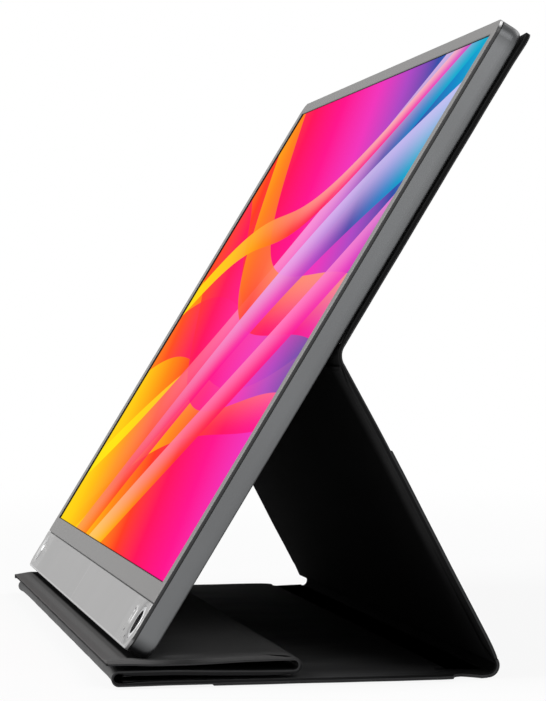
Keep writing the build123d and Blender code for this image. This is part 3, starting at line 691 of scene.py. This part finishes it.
def panel_plan(span, board_span, folded=(True, True), low=square, high=square,
               board_high=square, cut=0.0):
    """Outlines of a panel's sheets and of its board, and the fold lines beside it."""
    board_cut = hem_width if cut else 0.0
    return (
        (panel_corners(*span, cover_edge, cut, notch_edge), corner_radii(low, high)),
        (panel_corners(*board_span, board_edge, board_cut, board_notch_edge),
         corner_radii(square, board_high)),
        tuple(end if fold else None for end, fold in zip(span, folded)),
    )


cuts = {
    "base": panel_plan(
        (front_fold[0] + fold_tail, base_rear),
        (front_fold[0] + board_setback, spine_front - board_setback),
        high=rear_round, board_high=[3.0, 3.0, TIGHT], cut=rear_cut,
    ),
    "leg": panel_plan(
        (leg_start, leg_end - short_tail), (board_setback, leg_length - board_setback), low=[1.0]
    ),
    "back": panel_plan(
        (back_start_height + short_tail, back_top),
        (back_low + board_setback, back_top - hem_width),
        (True, False), high=[6.0], board_high=[3.0],
    ),
    "flap": panel_plan(
        (-flap_fold[0] + fold_tail, -front_fold[0] - fold_tail),
        (-flap_fold[0] + board_setback, -front_fold[0] - board_setback),
    ),
    "shelf": panel_plan(
        (shelf_front, flap_fold[0] - fold_tail),
        (shelf_front + hem_width, flap_fold[0] - board_setback),
        (False, True), low=[0.8],
    ),
}
panel_full = dict.fromkeys(cuts, skin + board + lining) | {"base": skin + board + 0.15}
panel_slope = dict.fromkeys(cuts, (-0.65, 0.75)) | {"base": (-0.75, 0.0), "shelf": (-1.6, 1.2)}
for panel, (edge, stiffener, folds) in cuts.items():
    add_sheet(f"{panel}_leather", panel, edge, leather_rows(edge), folds, leather_black,
              f"{panel}_skin")
    add_sheet(f"{panel}_stiffener", panel, stiffener,
              leather_rows(stiffener, board - GAP, skin + GAP / 2), (None, None), fibre_brown,
              f"{panel}_board")
    if panel != "base":
        suede_stack = suede_rows(edge, stiffener, panel_full[panel], panel_slope[panel])
        add_sheet(f"{panel}_suede", panel, edge, suede_stack, folds, suede_black,
                  f"{panel}_lining")

# %% [markdown]
# ## The base's lining
# The base has two boards under one piece of suede: the wide one, and the narrow
# one of the spine behind it.  So this sheet rises over the wide board like the
# others, and a second small cushion sits on its flat rear part for the spine.

# %% Base lining with its spine
edge, stiffener, folds = cuts["base"]
base_rows = suede_rows(edge, stiffener, panel_full["base"], panel_slope["base"])
spine = (
    panel_corners(spine_front, spine_front + spine_width, board_notch_edge),
    corner_radii([1.0], [1.0]),
)
spine_foot = skin + lining - 0.2
spine_rows = [(*spine, 0.9, spine_foot, 0, 0), (*spine, -0.9, spine_foot, 0, 0)]
spine_rows += [
    (*spine, inset, height, 0, 0)
    for inset, height in shoulder(skin + lining - GAP, panel_full["base"], -0.9, -0.05)
]
add_sheet("base_suede", "base", edge, base_rows, folds, suede_black, "base_lining",
          sheet("base", spine, spine_rows))

# %% [markdown]
# ## Wraps
# A second layer of leather is glued over the leg's lower part, round the rear
# fold and under the base.  Its upper edge is the small step on the leg's back.

# %% Extra layer of leather
leg_wrap_edge = panel_corners(leg_start, leg_wrap_top, cover_edge), corner_radii([1.0], [0.6])
base_wrap_edge = (
    panel_corners(leg_fold[0] - base_wrap_reach, base_rear, cover_edge, rear_cut, notch_edge),
    corner_radii([0.6], rear_round),
)
add_sheet("leg_wrap_leather", "leg", leg_wrap_edge, leather_rows(leg_wrap_edge, wrap, -wrap),
          (leg_start, None), leather_black, "leg_wrap")
add_sheet("base_wrap_leather", "base", base_wrap_edge, leather_rows(base_wrap_edge, wrap, -wrap),
          (None, base_rear), leather_black, "base_wrap")

# %% [markdown]
# ## Bent strips at the folds
# Between two panels the sheets run round the fold line without a board.  A
# strip's section is an arc band with a short straight tail at each end, carried
# along the whole fold.  Each strip lies round a joint, built in its resting place
# and attached to no body.

# %% Fold strips
ARC_STEPS = 26
STATIONS = 61
END_STEP, END_RUN, END_THICK = 0.07, 0.3, 0.72  # a strip's cut end is slightly rounded


def band_section(centre, inner, thick, start, sweep, tail):
    """Outer line, inner line, and the way each of their points swells.

    A point at angle a is centre + radius * (cos a, sin a), with a straight tail
    before and after the arc.  Leather bulges where it turns back, so the swell
    points outwards and is the sine of the way round.
    """
    way = 1 if sweep > 0 else -1
    angle = np.radians(np.linspace(start, start + sweep, ARC_STEPS))
    spoke = np.stack([np.cos(angle), np.sin(angle)], axis=1)
    tangent = np.stack([-spoke[:, 1], spoke[:, 0]], axis=1) * way

    def layer(radius):
        arc = centre + spoke * radius
        return np.vstack([arc[0] - tangent[0] * tail, arc, arc[-1] + tangent[-1] * tail])

    swell = spoke * np.sin(np.linspace(0, math.pi, ARC_STEPS))[:, None]
    return layer(inner + thick), layer(inner), np.vstack([swell[:1], swell, swell[-1:]])


def add_strip(name, node, fold, inner, thick, start, sweep, ends, finish, swell, tail):
    """One bent layer, carried along x, built in its resting place and attached to no body.

    The swell has one value for the middle and one for the two ends, where the
    layer is free, and changes between them as exp(-distance from the end / 10).
    """
    outside, inside, bulge = band_section(fold, inner, thick, start, sweep, tail)
    middle = (outside + inside) / 2
    left, right = ends
    x = np.linspace(left + END_RUN, right - END_RUN, STATIONS)
    x = np.concatenate([[left, left + END_STEP], x, [right - END_STEP, right]])
    full = np.ones(len(x))
    full[[0, -1]] = END_THICK
    waves = 0.05 * np.sin(x / 9.1) + 0.04 * np.sin(x / 4.3 + 1.0)
    swelling = swell[0] + (swell[1] - swell[0]) * np.exp(-np.minimum(x - left, right - x) / 10)
    ripple = np.sin(np.linspace(0, math.pi, len(middle)))[None, :, None] * waves[:, None, None]
    away = unit(middle - fold)
    section = np.concatenate([outside, inside[::-1]])
    core = np.concatenate([middle, middle[::-1]])
    outward = np.concatenate([away, away[::-1]])
    ripple = np.concatenate([ripple, ripple[:, ::-1]], axis=1)
    yz = core + (section - core) * full[:, None, None] + outward * ripple
    yz += swelling[:, None, None] * np.concatenate([bulge, bulge[::-1]])
    across = np.repeat(x[:, None, None], yz.shape[1], axis=1)
    rings = np.concatenate([across, yz], axis=2)
    marks = np.zeros(rings.shape[:2])
    marks[[0, 1, -2, -1]] = 1.0
    piece = closed_piece(name, [(rings, marks, [np.arange(rings.shape[1])])])
    settle(piece, None, finish, node)
    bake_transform(piece)


front_inner = (flap_top - base_bottom + base_dip) / 2 - skin - lining
front_centre = front_fold - (0, base_dip / 2)
flap_inner = (shelf_bottom - flap_top) / 2 + flap_dip
leg_bend = 180 - math.degrees(leg_slope)
back_bend = 180 - math.degrees(screen_slope + leg_slope)
back_start = 270 - math.degrees(leg_slope)
whole, beside_cut = (-cover_edge, cover_edge), (-notch_edge, strip_near_edge)

# fold, centre, first angle, sweep, ends, bodies, swell, tail, and layers from the inside
fold_turns = (
    ("front", front_centre, -90, -180, whole, ("base", "flap"), (-0.72, 0.3), fold_tail,
     (("suede", front_inner + 0.2, lining - 0.2), ("leather", front_inner + lining, skin))),
    ("flap", flap_fold, -90, 180, whole, ("flap", "shelf"), (0.1, 0.1), fold_tail,
     (("leather", flap_inner, skin), ("suede", flap_inner + skin, lining))),
    ("leg", bend_centre, -90, leg_bend, beside_cut, ("base", "leg"), (0.0, 0.0), short_tail,
     (("suede", bend_radius, lining), ("leather", bend_radius + lining, skin),
      ("wrap", bend_radius + lining + skin, wrap))),
    ("back", bow_centre, back_start, -back_bend, whole, ("leg", "back_panel"), (0.0, 0.0),
     short_tail, (("leather", bow_radius, skin), ("suede", bow_radius + skin, lining))),
)
layer_kinds = {
    "suede": ("lining", suede_black),
    "leather": ("skin", leather_black),
    "wrap": ("wrap", leather_black),
}
for fold, centre, start, sweep, ends, bodies, swell, tail, layers in fold_turns:
    for layer, inner, thick in layers:
        node, finish = layer_kinds[layer]
        add_strip(f"{fold}_turn_{layer}", f"{fold}_fold_{node}", centre, inner, thick,
                  start, sweep, ends, finish, swell, tail)

# %% [markdown]
# ## Metal of the monitor
# The plate round the screen is blasted and dyed a warm dark grey, the chin is a
# lighter satin silver, and the shell behind is a cooler grey, with painted shade
# at its two ends.  Blasted metal is a fine random relief with a broad highlight.
# The thin side of the front plate carries a painted dark reflection, so it reads
# as a black line, and a painted highlight gives it a bright glint at the corners.

# %% Front plate and shell


def blasted(name, light, dark, grain, gloss):
    """Fine random relief and a faint cloudy tone."""
    finish = Finish(name, {"Specular IOR Level": 0.5})
    finish.feed("Metallic", 0.85)
    place = finish.place()
    grit = finish.noise(place, 2600.0, 2.0, 0.6)
    cloud = finish.noise(place, 22.0, 3.0)
    tone = finish.blend(cloud.smooth(0.25, 0.75), dark, light)
    tone = finish.blend(grit * 0.1, tone, light)
    finish.feed("Roughness", cloud * 0.04 + grit * 0.04 + gloss)
    finish.relief(grit, grain)
    return finish, tone


def polished_side(finish, out, face_tone, side_reflection):
    """Metal on the face, and a side that isn't metal, from 0.03 to 0.14 mm behind it, coloured with
    a painted reflection.
    """
    side = out.smooth(-0.03, -0.14)
    finish.feed("Base Color", finish.blend(side, face_tone, side_reflection))
    finish.feed("Metallic", 0.85 - side * 0.85)


bezel, bezel_tone = blasted("bezel_grey", (0.123, 0.118, 0.115), (0.105, 0.101, 0.098), 0.008, 0.34)
across, up, out = bezel.on_screen_plane()
# painted highlight: a bright glint on the side at the plate's two top corners; elsewhere the side
# carries a painted dark reflection
at_top = up.smooth(monitor_height - 3.4, monitor_height - 1.6)
glint = at_top * across.size().smooth(176.5, 178.5)
side_reflection = bezel.blend(glint, (0.012, 0.012, 0.013), 0.95)
polished_side(bezel, out, bezel_tone, side_reflection)
bezel.wear("front_bezel")

shell, shell_tone = blasted(
    "shell_grey", (0.158, 0.162, 0.166), (0.142, 0.145, 0.148), 0.006, 0.36
)
_, up, _ = shell.on_screen_plane()
# painted shade: the shell turns near black towards its bottom end and darker towards its top end
top_end_shade = up.smooth(monitor_height - 0.9, monitor_height - 9.4) * 0.7 + 0.3
ends = up.smooth(0.4, 7.0) * top_end_shade
shell.feed("Base Color", shell.blend(ends, (0.008, 0.008, 0.009), shell_tone))
shell.wear("rear_housing")

# %% [markdown]
# ## The chin and its spun rings
# The chin's two ends are turned: fine concentric grooves round the pen hole on
# the right and round the button on the left.  The grooves are rings of a sine of
# the distance from the centre, fading out 30 mm away.  A painted highlight of short
# bright dashes lies on the rings left of each centre, and painted shade darkens the
# dish left of the pen hole and three small pits.  A hairline of painted highlight
# marks the middle of the chin, the chin is lighter along its bottom edge, and its
# side carries a painted reflection.

# %% Chin finish
chin, chin_tone = blasted("chin_silver", (0.262, 0.258, 0.257), (0.232, 0.229, 0.228), 0.006, 0.3)
across, up, out = chin.on_screen_plane()
fleck = chin.noise(chin.place(), 420.0, 2.0).smooth(0.38, 0.55)


def from_centre(across, up, centre):
    """Offsets along and up the plate, and the distance from a centre."""
    sideways, upwards = across - centre[0], up - centre[1]
    return sideways, upwards, (sideways * sideways + upwards * upwards).root()


def grooves(distance, pitch):
    """Sine of the distance, one wave to a pitch, between 0 and 1."""
    return (distance * (2 * math.pi / pitch)).sine() * 0.5 + 0.5


def spun(distance, pitch, reach):
    """Grooves that fade out towards the reach."""
    return grooves(distance, pitch) * distance.smooth(reach, reach * 0.75)


def flash(sideways, upwards, distance):
    """Painted highlight: short bright strokes on the rings, in the one direction that mirrors the
    lamp.
    """
    beside = sideways.smooth(-9.5, -11.5) * sideways.smooth(-18.5, -15.5)
    strokes = spun(distance, 2.3, 30.0).power(2.0) * (upwards - 1.5).size().smooth(3.8, 1.2)
    return beside * strokes * fleck * 2.2


from_pen, from_key = [from_centre(across, up, centre) for centre in (pen_place, key_place)]
pen_rings, pen_fine = spun(from_pen[2], 2.6, 30.0), spun(from_pen[2], 0.42, 30.0)
key_rings, key_fine = spun(from_key[2], 2.6, 24.0), spun(from_key[2], 0.42, 24.0)
# painted shade in the dish round the pen hole, on its left
dish_shade = from_pen[2].smooth(10.5, 7.0) * from_pen[2].smooth(5.2, 5.8) * from_pen[0].smooth(4.0, -2.0)
# painted highlight along the seam down the middle of the chin
hairline_highlight = across.size().smooth(0.35, 0.1) * 0.4
turned_and_painted_tone = chin.blend(pen_rings * 0.08 + key_rings * 0.12, chin_tone, (0.75, 0.745, 0.74))
turned_and_painted_tone = chin.blend(dish_shade * 0.75, turned_and_painted_tone, 0.1)
# painted highlight: short bright strokes on the rings left of the pen hole and the button
turned_and_painted_tone = chin.blend(flash(*from_pen) + flash(*from_key) * 0.7, turned_and_painted_tone, 1.0)
# the middle hairline's painted highlight, and a lighter band along the bottom edge
turned_and_painted_tone = chin.blend(hairline_highlight + up.smooth(0.9, 0.3) * 0.5, turned_and_painted_tone, 0.7)
# painted shade in three small pits beside the pen hole
for pit_x, pit_y in ((-16.5, 3.2), (-15.5, -4.2), (-7.1, -5.8)):
    pit_shade = from_centre(across, up, (pen_place[0] + pit_x, pen_place[1] + pit_y))[2]
    turned_and_painted_tone = chin.blend(pit_shade.smooth(0.75, 0.45), turned_and_painted_tone, 0.02)
# painted reflection on the chin's side: dark, and lighter towards the bottom corner
side_reflection = chin.blend(up.smooth(4.4, 2.8), (0.012, 0.012, 0.013), 0.2)
polished_side(chin, out, turned_and_painted_tone, side_reflection)
chin.feed("Roughness", 0.36 - (pen_rings + key_rings) * 0.08)
chin.relief(pen_fine + key_fine + (pen_rings + key_rings) * 0.8, 0.02)
chin.wear("chin_plate")

# %% [markdown]
# ## The picture on the screen
# The screen is lit, so its picture is emission on the film, inside a black border
# that is partly the panel's thin mask and partly painted shade of the recess wall,
# widest on the left.  The colours run from yellow at the lower left through red
# and magenta to blue and cyan at the upper right.  The drawing is our own: curved
# ribbons, each the region between two sine waves, laid over one another like glass.

# %% Screen picture
film = Finish("screen_film", {"Specular IOR Level": 0.0, "Emission Strength": 1.0})
across, up, _ = film.on_screen_plane()
wide = across * (1 / window_width) + 0.5
high = (up - window_middle) * (1 / window_height) + 0.5
GLASS = (
    (0.00, (1.0, 0.80, 0.0)),
    (0.14, (1.0, 0.60, 0.0)),
    (0.26, (1.0, 0.25, 0.0)),
    (0.36, (1.0, 0.04, 0.01)),
    (0.46, (1.0, 0.0, 0.10)),
    (0.58, (1.0, 0.0, 0.26)),
    (0.70, (0.88, 0.03, 0.50)),
    (0.79, (0.42, 0.06, 0.55)),
    (0.87, (0.03, 0.07, 0.38)),
    (0.94, (0.0, 0.24, 0.58)),
    (1.00, (0.0, 0.42, 0.62)),
)


def ribbon(middle, swing, turns, start, lean, half):
    """1 between two sine waves, and the way across the ribbon from 0 to 1."""
    wave = (wide * (2 * math.pi * turns) + start).sine() * swing
    gap = high - middle - wave - wide * lean
    inside = gap.size().smooth(half, half * 0.985)
    return inside, gap * (0.5 / half) + 0.5


diagonal = wide * 0.6 + high * 0.4
picture = film.ramp(diagonal, *GLASS)
# the ribbon's curve, then the shift along the colours, its pale tone and that one's share
ribbons = (
    (0.02, 0.10, 0.55, 0.3, 0.42, 0.11, -0.14, (1.0, 0.85, 0.2), 0.7),
    (0.30, 0.13, 0.60, 1.4, 0.30, 0.07, 0.14, (1.0, 0.2, 0.5), 0.55),
    (0.62, 0.09, 0.80, 2.2, -0.25, 0.10, 0.10, (1.0, 0.05, 0.35), 0.5),
    (0.10, 0.16, 0.45, 4.0, 0.95, 0.12, 0.07, (1.0, 0.55, 0.9), 0.7),
    (0.95, 0.14, 0.65, 3.0, -0.55, 0.06, -0.15, (1.0, 0.5, 0.1), 0.6),
    (-0.30, 0.12, 0.70, 5.2, 1.15, 0.09, 0.1, (0.78, 0.6, 1.0), 0.8),
    (-0.62, 0.10, 0.50, 1.0, 1.35, 0.07, -0.1, (1.0, 0.35, 0.75), 0.6),
    (0.48, 0.07, 1.10, 0.6, 0.55, 0.035, -0.2, (1.0, 0.9, 0.6), 0.5),
)
for *curve, shift, pale, share in ribbons:
    inside, way = ribbon(*curve)
    glass = film.ramp(diagonal + shift, *GLASS)
    glass = film.blend(way.smooth(0.0, 1.1) * wide.smooth(0.1, 0.8) * share, glass, pale)
    picture = film.blend(inside * 0.9, picture, glass)
# black border: a thin mask round the picture, widened on the left into painted shade of the recess
# wall
mask_and_recess_shade = ((across - 2.0).size() - window_width / 2 + 2.5).greatest(
    (up - window_middle).size() - window_height / 2 + 0.3
)
lit = mask_and_recess_shade.smooth(0.15, -0.15)
haze = film.noise(film.place(), 900.0, 2.0)
film.feed("Base Color", film.blend(haze, (0.006, 0.006, 0.007), (0.01, 0.01, 0.011)))
film.feed("Roughness", haze * 0.1 + 0.4)
film.feed("Emission Color", film.blend(lit, 0, picture))
film.wear("front_film")

# %% [markdown]
# ## Small outside parts
# The pen hole has a bright turned collar with fine cuts round its rim, and painted
# shade darkens the collar and the key's ring on their left; the button is a dished
# disc of spun aluminium, and the socket is plain steel.  The cuts are a sine of
# the angle round the hole.

# %% Collar, button, lens and socket


def turned_metal(name, centre, light, pitch, teeth, gloss, shade=1.0):
    """Rings of the distance and cuts of the angle round a centre, with painted shade on the left.
    """
    finish = Finish(name, {"Metallic": 1.0})
    across, up, _ = finish.on_screen_plane()
    sideways, upwards, distance = from_centre(across, up, centre)
    rings = grooves(distance, pitch)
    nicks = (upwards.angle_from(sideways) * teeth).sine() * 0.5 + 0.5
    dark = tuple(part * 0.6 for part in light)
    tone = finish.blend(rings * 0.4 + nicks * 0.35, light, dark)
    # painted shade: the part left of the centre is darkened by the shade factor
    left = tuple(part * shade for part in light)
    tone = finish.blend(sideways.smooth(3.0, -1.5), tone, left)
    finish.coat(tone, rings * 0.12 + gloss, rings + nicks, 0.02)
    return finish


turned_metal("ring_chrome", pen_place, (0.8, 0.8, 0.81), 0.45, 60, 0.18, 0.4).wear("pen_sleeve")
turned_metal("ring_chrome_key", key_place, (0.7, 0.7, 0.71), 0.4, 60, 0.18, 0.6).wear("key_ring")
turned_metal("button_silver", key_place, (0.55, 0.55, 0.55), 0.5, 0, 0.2).wear("menu_button")
power, power_tone = blasted(
    "button_silver_side", (0.3, 0.31, 0.315), (0.25, 0.26, 0.262), 0.015, 0.3
)
power.feed("Base Color", power_tone)
power.wear("power_button")


def plain(name, light, dark, scale, metallic, rough, relief, *nodes):
    """Moulded or rolled material: two close tones of cloud, and a fine relief."""
    finish = Finish(name, {"Metallic": metallic})
    place = finish.place()
    cloud = finish.noise(place, scale, 3.0)
    fine = finish.noise(place, scale * 14.0, 2.0)
    tone = finish.blend(cloud.smooth(0.3, 0.7), dark, light)
    finish.coat(tone, fine * 0.12 + rough, fine, relief)
    finish.wear(*nodes)


plain("gasket_black", (0.02, 0.02, 0.021), 0.012, 120, 0, 0.4, 0.02, "edge_gasket")
plain("lens_clear", (0.05, 0.05, 0.055), (0.03, 0.03, 0.034), 400, 0, 0.08, 0.004,
      "status_lens")
plain("port_steel", (0.5, 0.5, 0.51), (0.4, 0.4, 0.41), 300, 1, 0.25, 0.01, "port_shell")
plain("port_tongue_black", 0.02, 0.012, 300, 0, 0.45, 0.01, "port_tongue")

# %% [markdown]
# ## Inside the monitor and the cover
# These parts show only when the model is taken apart, but each gets the finish
# of its own material: board, magnets, mouldings, screen layers and circuits.

# %% Inner finishes


def circuit(*nodes):
    """Solder mask with darker copper runs in a fine square weave below it."""
    finish = Finish("circuit_green", {"Coat Weight": 0.3})
    across, up, _ = finish.on_screen_plane()
    runs = (across * 5.2).sine() * (up * 4.1).sine()
    pads = finish.cells(finish.place(), 380.0)
    green = finish.blend(runs.smooth(-0.1, 0.1), (0.008, 0.07, 0.03), (0.014, 0.12, 0.05))
    tone = finish.blend(pads.smooth(0.16, 0.12), green, (0.6, 0.55, 0.4))
    finish.coat(tone, runs * 0.05 + 0.35, runs, 0.02)
    finish.wear(*nodes)


fibre_brown.wear("spine_board")
circuit("main_board", "driver_board")
plain("magnet_steel", (0.5, 0.49, 0.47), (0.42, 0.41, 0.4), 90, 1, 0.25, 0.01,
      "back_magnets", "shelf_magnets")
plain("latch_steel", 0.45, (0.37, 0.37, 0.38), 150, 1, 0.35, 0.01, "latch_plates")
plain("frame_plastic", (0.03, 0.03, 0.031), 0.022, 200, 0, 0.5, 0.02, "mid_frame")
plain("screw_steel", (0.35, 0.35, 0.36), (0.22, 0.22, 0.23), 600, 1, 0.3, 0.01,
      "frame_screws", "board_screws")
plain("cell_glass", (0.03, 0.035, 0.035), (0.02, 0.022, 0.022), 40, 0, 0.06, 0.002,
      "display_cell")
plain("sheet_white", (0.86, 0.86, 0.85), (0.8, 0.8, 0.79), 60, 0, 0.5, 0.005, "light_sheets")
plain("guide_clear", (0.8, 0.83, 0.83), (0.72, 0.76, 0.76), 60, 0, 0.12, 0.004, "light_guide")
plain("led_white", (0.85, 0.82, 0.6), (0.75, 0.72, 0.5), 300, 0, 0.4, 0.01, "led_bar")
plain("mirror_film", (0.9, 0.9, 0.91), (0.82, 0.82, 0.83), 50, 1, 0.1, 0.003, "reflector")
plain("can_tin", (0.6, 0.6, 0.58), (0.5, 0.5, 0.48), 180, 1, 0.3, 0.01, "shield_can")
plain("chip_black", (0.02, 0.02, 0.021), 0.014, 500, 0, 0.5, 0.01,
      "picture_chip", "flex_socket", "menu_switch", "power_switch")
plain("flex_amber", (0.45, 0.2, 0.03), (0.36, 0.15, 0.02), 120, 0, 0.3, 0.005, "picture_flex")
print("inner finishes ready")

# %% [markdown]
# ## Camera
# The photograph was taken from the right of the screen, low down and with a long
# lens.  The camera's place, its aim and its slight roll were solved from the
# corners of the screen and of the cover, in a picture of 546 by 701 pixels.

# %% Camera
PICTURE_HEIGHT = 701
FOCAL_PIXELS = 3098.1
SENSOR = 36.0
camera_place = np.array([1114.018, -165.71, 106.943])
aim = np.array([-0.98721658, 0.15929791, -0.00525436])
roll = math.radians(-0.431)


def aimed(place, direction, roll=0.0):
    """Placement whose -z axis looks along a direction, level but for its roll."""
    back = -unit(direction)
    level = unit(np.cross((0, 0, 1), back))
    upright = np.cross(back, level)
    rightward = level * math.cos(roll) + upright * math.sin(roll)
    upward = upright * math.cos(roll) - level * math.sin(roll)
    turn = Matrix(np.column_stack([rightward, upward, back]).tolist()).to_4x4()
    return Matrix.Translation(place) @ turn


lens = bpy.data.cameras.new("camera")
lens.sensor_width = SENSOR
lens.lens = FOCAL_PIXELS / PICTURE_HEIGHT * SENSOR
lens.clip_start, lens.clip_end = 0.05, 30.0
camera = in_scene("camera", lens)
camera.matrix_world = aimed(camera_place * mm, aim, roll)
bpy.context.scene.camera = camera
print("lens", round(lens.lens, 1), "mm")

# %% [markdown]
# ## Floor and light
# The floor and the surroundings are plain white.  Their whiteness for the camera
# comes from Light Path in their own colour and not from stronger lamps, so the
# object keeps its exposure and the floor keeps a soft shadow.  A wide soft panel
# in front of the screen is the main light, and a smaller one lights the near side.

# %% Floor, surroundings and lamps


def sight(graph):
    """1 for rays from the camera, from gloss or through glass."""
    camera_ray, glossy_ray, transmission_ray = [
        graph.node("ShaderNodeLightPath", {}, {}, out=f"Is {kind} Ray")
        for kind in ("Camera", "Glossy", "Transmission")
    ]
    return camera_ray.greatest(glossy_ray).greatest(transmission_ray)


def floor_piece(half, near_white):
    """Square of floor under the object, white to the eye and keeping a shadow.

    Near the object the white is mixed with a lit, matt floor, which shows the
    shadow.  The mix fades out between 0.25 and 1.1 m from the middle.
    """
    mesh = bpy.data.meshes.new("floor")
    mesh.from_pydata(
        [(-half, -half, 0), (half, -half, 0), (half, half, 0), (-half, half, 0)], [], [(0, 1, 2, 3)]
    )
    floor = in_scene("floor", mesh)
    floor.location.z = -0.0004
    material = bpy.data.materials.new("floor_white")
    graph = Graph(material)
    graph.nodes.clear()
    place = graph.node("ShaderNodeTexCoord", {}, {}, out="Object")
    away = graph.node("ShaderNodeVectorMath", {"operation": "LENGTH"}, {0: place}, out="Value")
    white_share = away.smooth(0.25, 1.1) * (1 - near_white) + near_white
    matt = graph.node("ShaderNodeBsdfDiffuse", {}, {"Color": 0.86})
    white = graph.node("ShaderNodeEmission", {}, {"Strength": 1.0})
    share = sight(graph) * white_share
    mixed = graph.node("ShaderNodeMixShader", {}, {0: share, 1: matt, 2: white})
    graph.join(graph.nodes.new("ShaderNodeOutputMaterial").inputs["Surface"], mixed)
    mesh.materials.append(material)


def surroundings(ambient):
    """White for the camera and for reflections, and a low even light otherwise."""
    world = bpy.data.worlds.new("surroundings")
    bpy.context.scene.world = world
    graph = Graph(world)
    background = graph.nodes["Background"]
    graph.join(background.inputs["Color"], 1)
    graph.join(background.inputs["Strength"], sight(graph) * (1 - ambient) + ambient)


def soft_lamp(name, place, target, width, height, power):
    """Area lamp at a place, facing a target, all in metres and watts."""
    lamp = bpy.data.lights.new(name, "AREA")
    lamp.shape = "RECTANGLE"
    lamp.size, lamp.size_y, lamp.energy = width, height, power
    in_scene(name, lamp).matrix_world = aimed(place, np.subtract(target, place))


floor_piece(12.0, 0.88)
surroundings(0.32)
soft_lamp("front_panel", (0.15, -1.15, 0.95), (0, 0, 0.08), 1.1, 0.8, 16.0)
soft_lamp("side_panel", (1.1, 0.35, 0.75), (0, 0, 0.08), 0.7, 0.5, 5.0)
soft_lamp("rear_panel", (-0.4, 1.2, 0.9), (0, 0, 0.08), 0.9, 0.6, 6.0)
bpy.context.scene.view_settings.view_transform = "Standard"
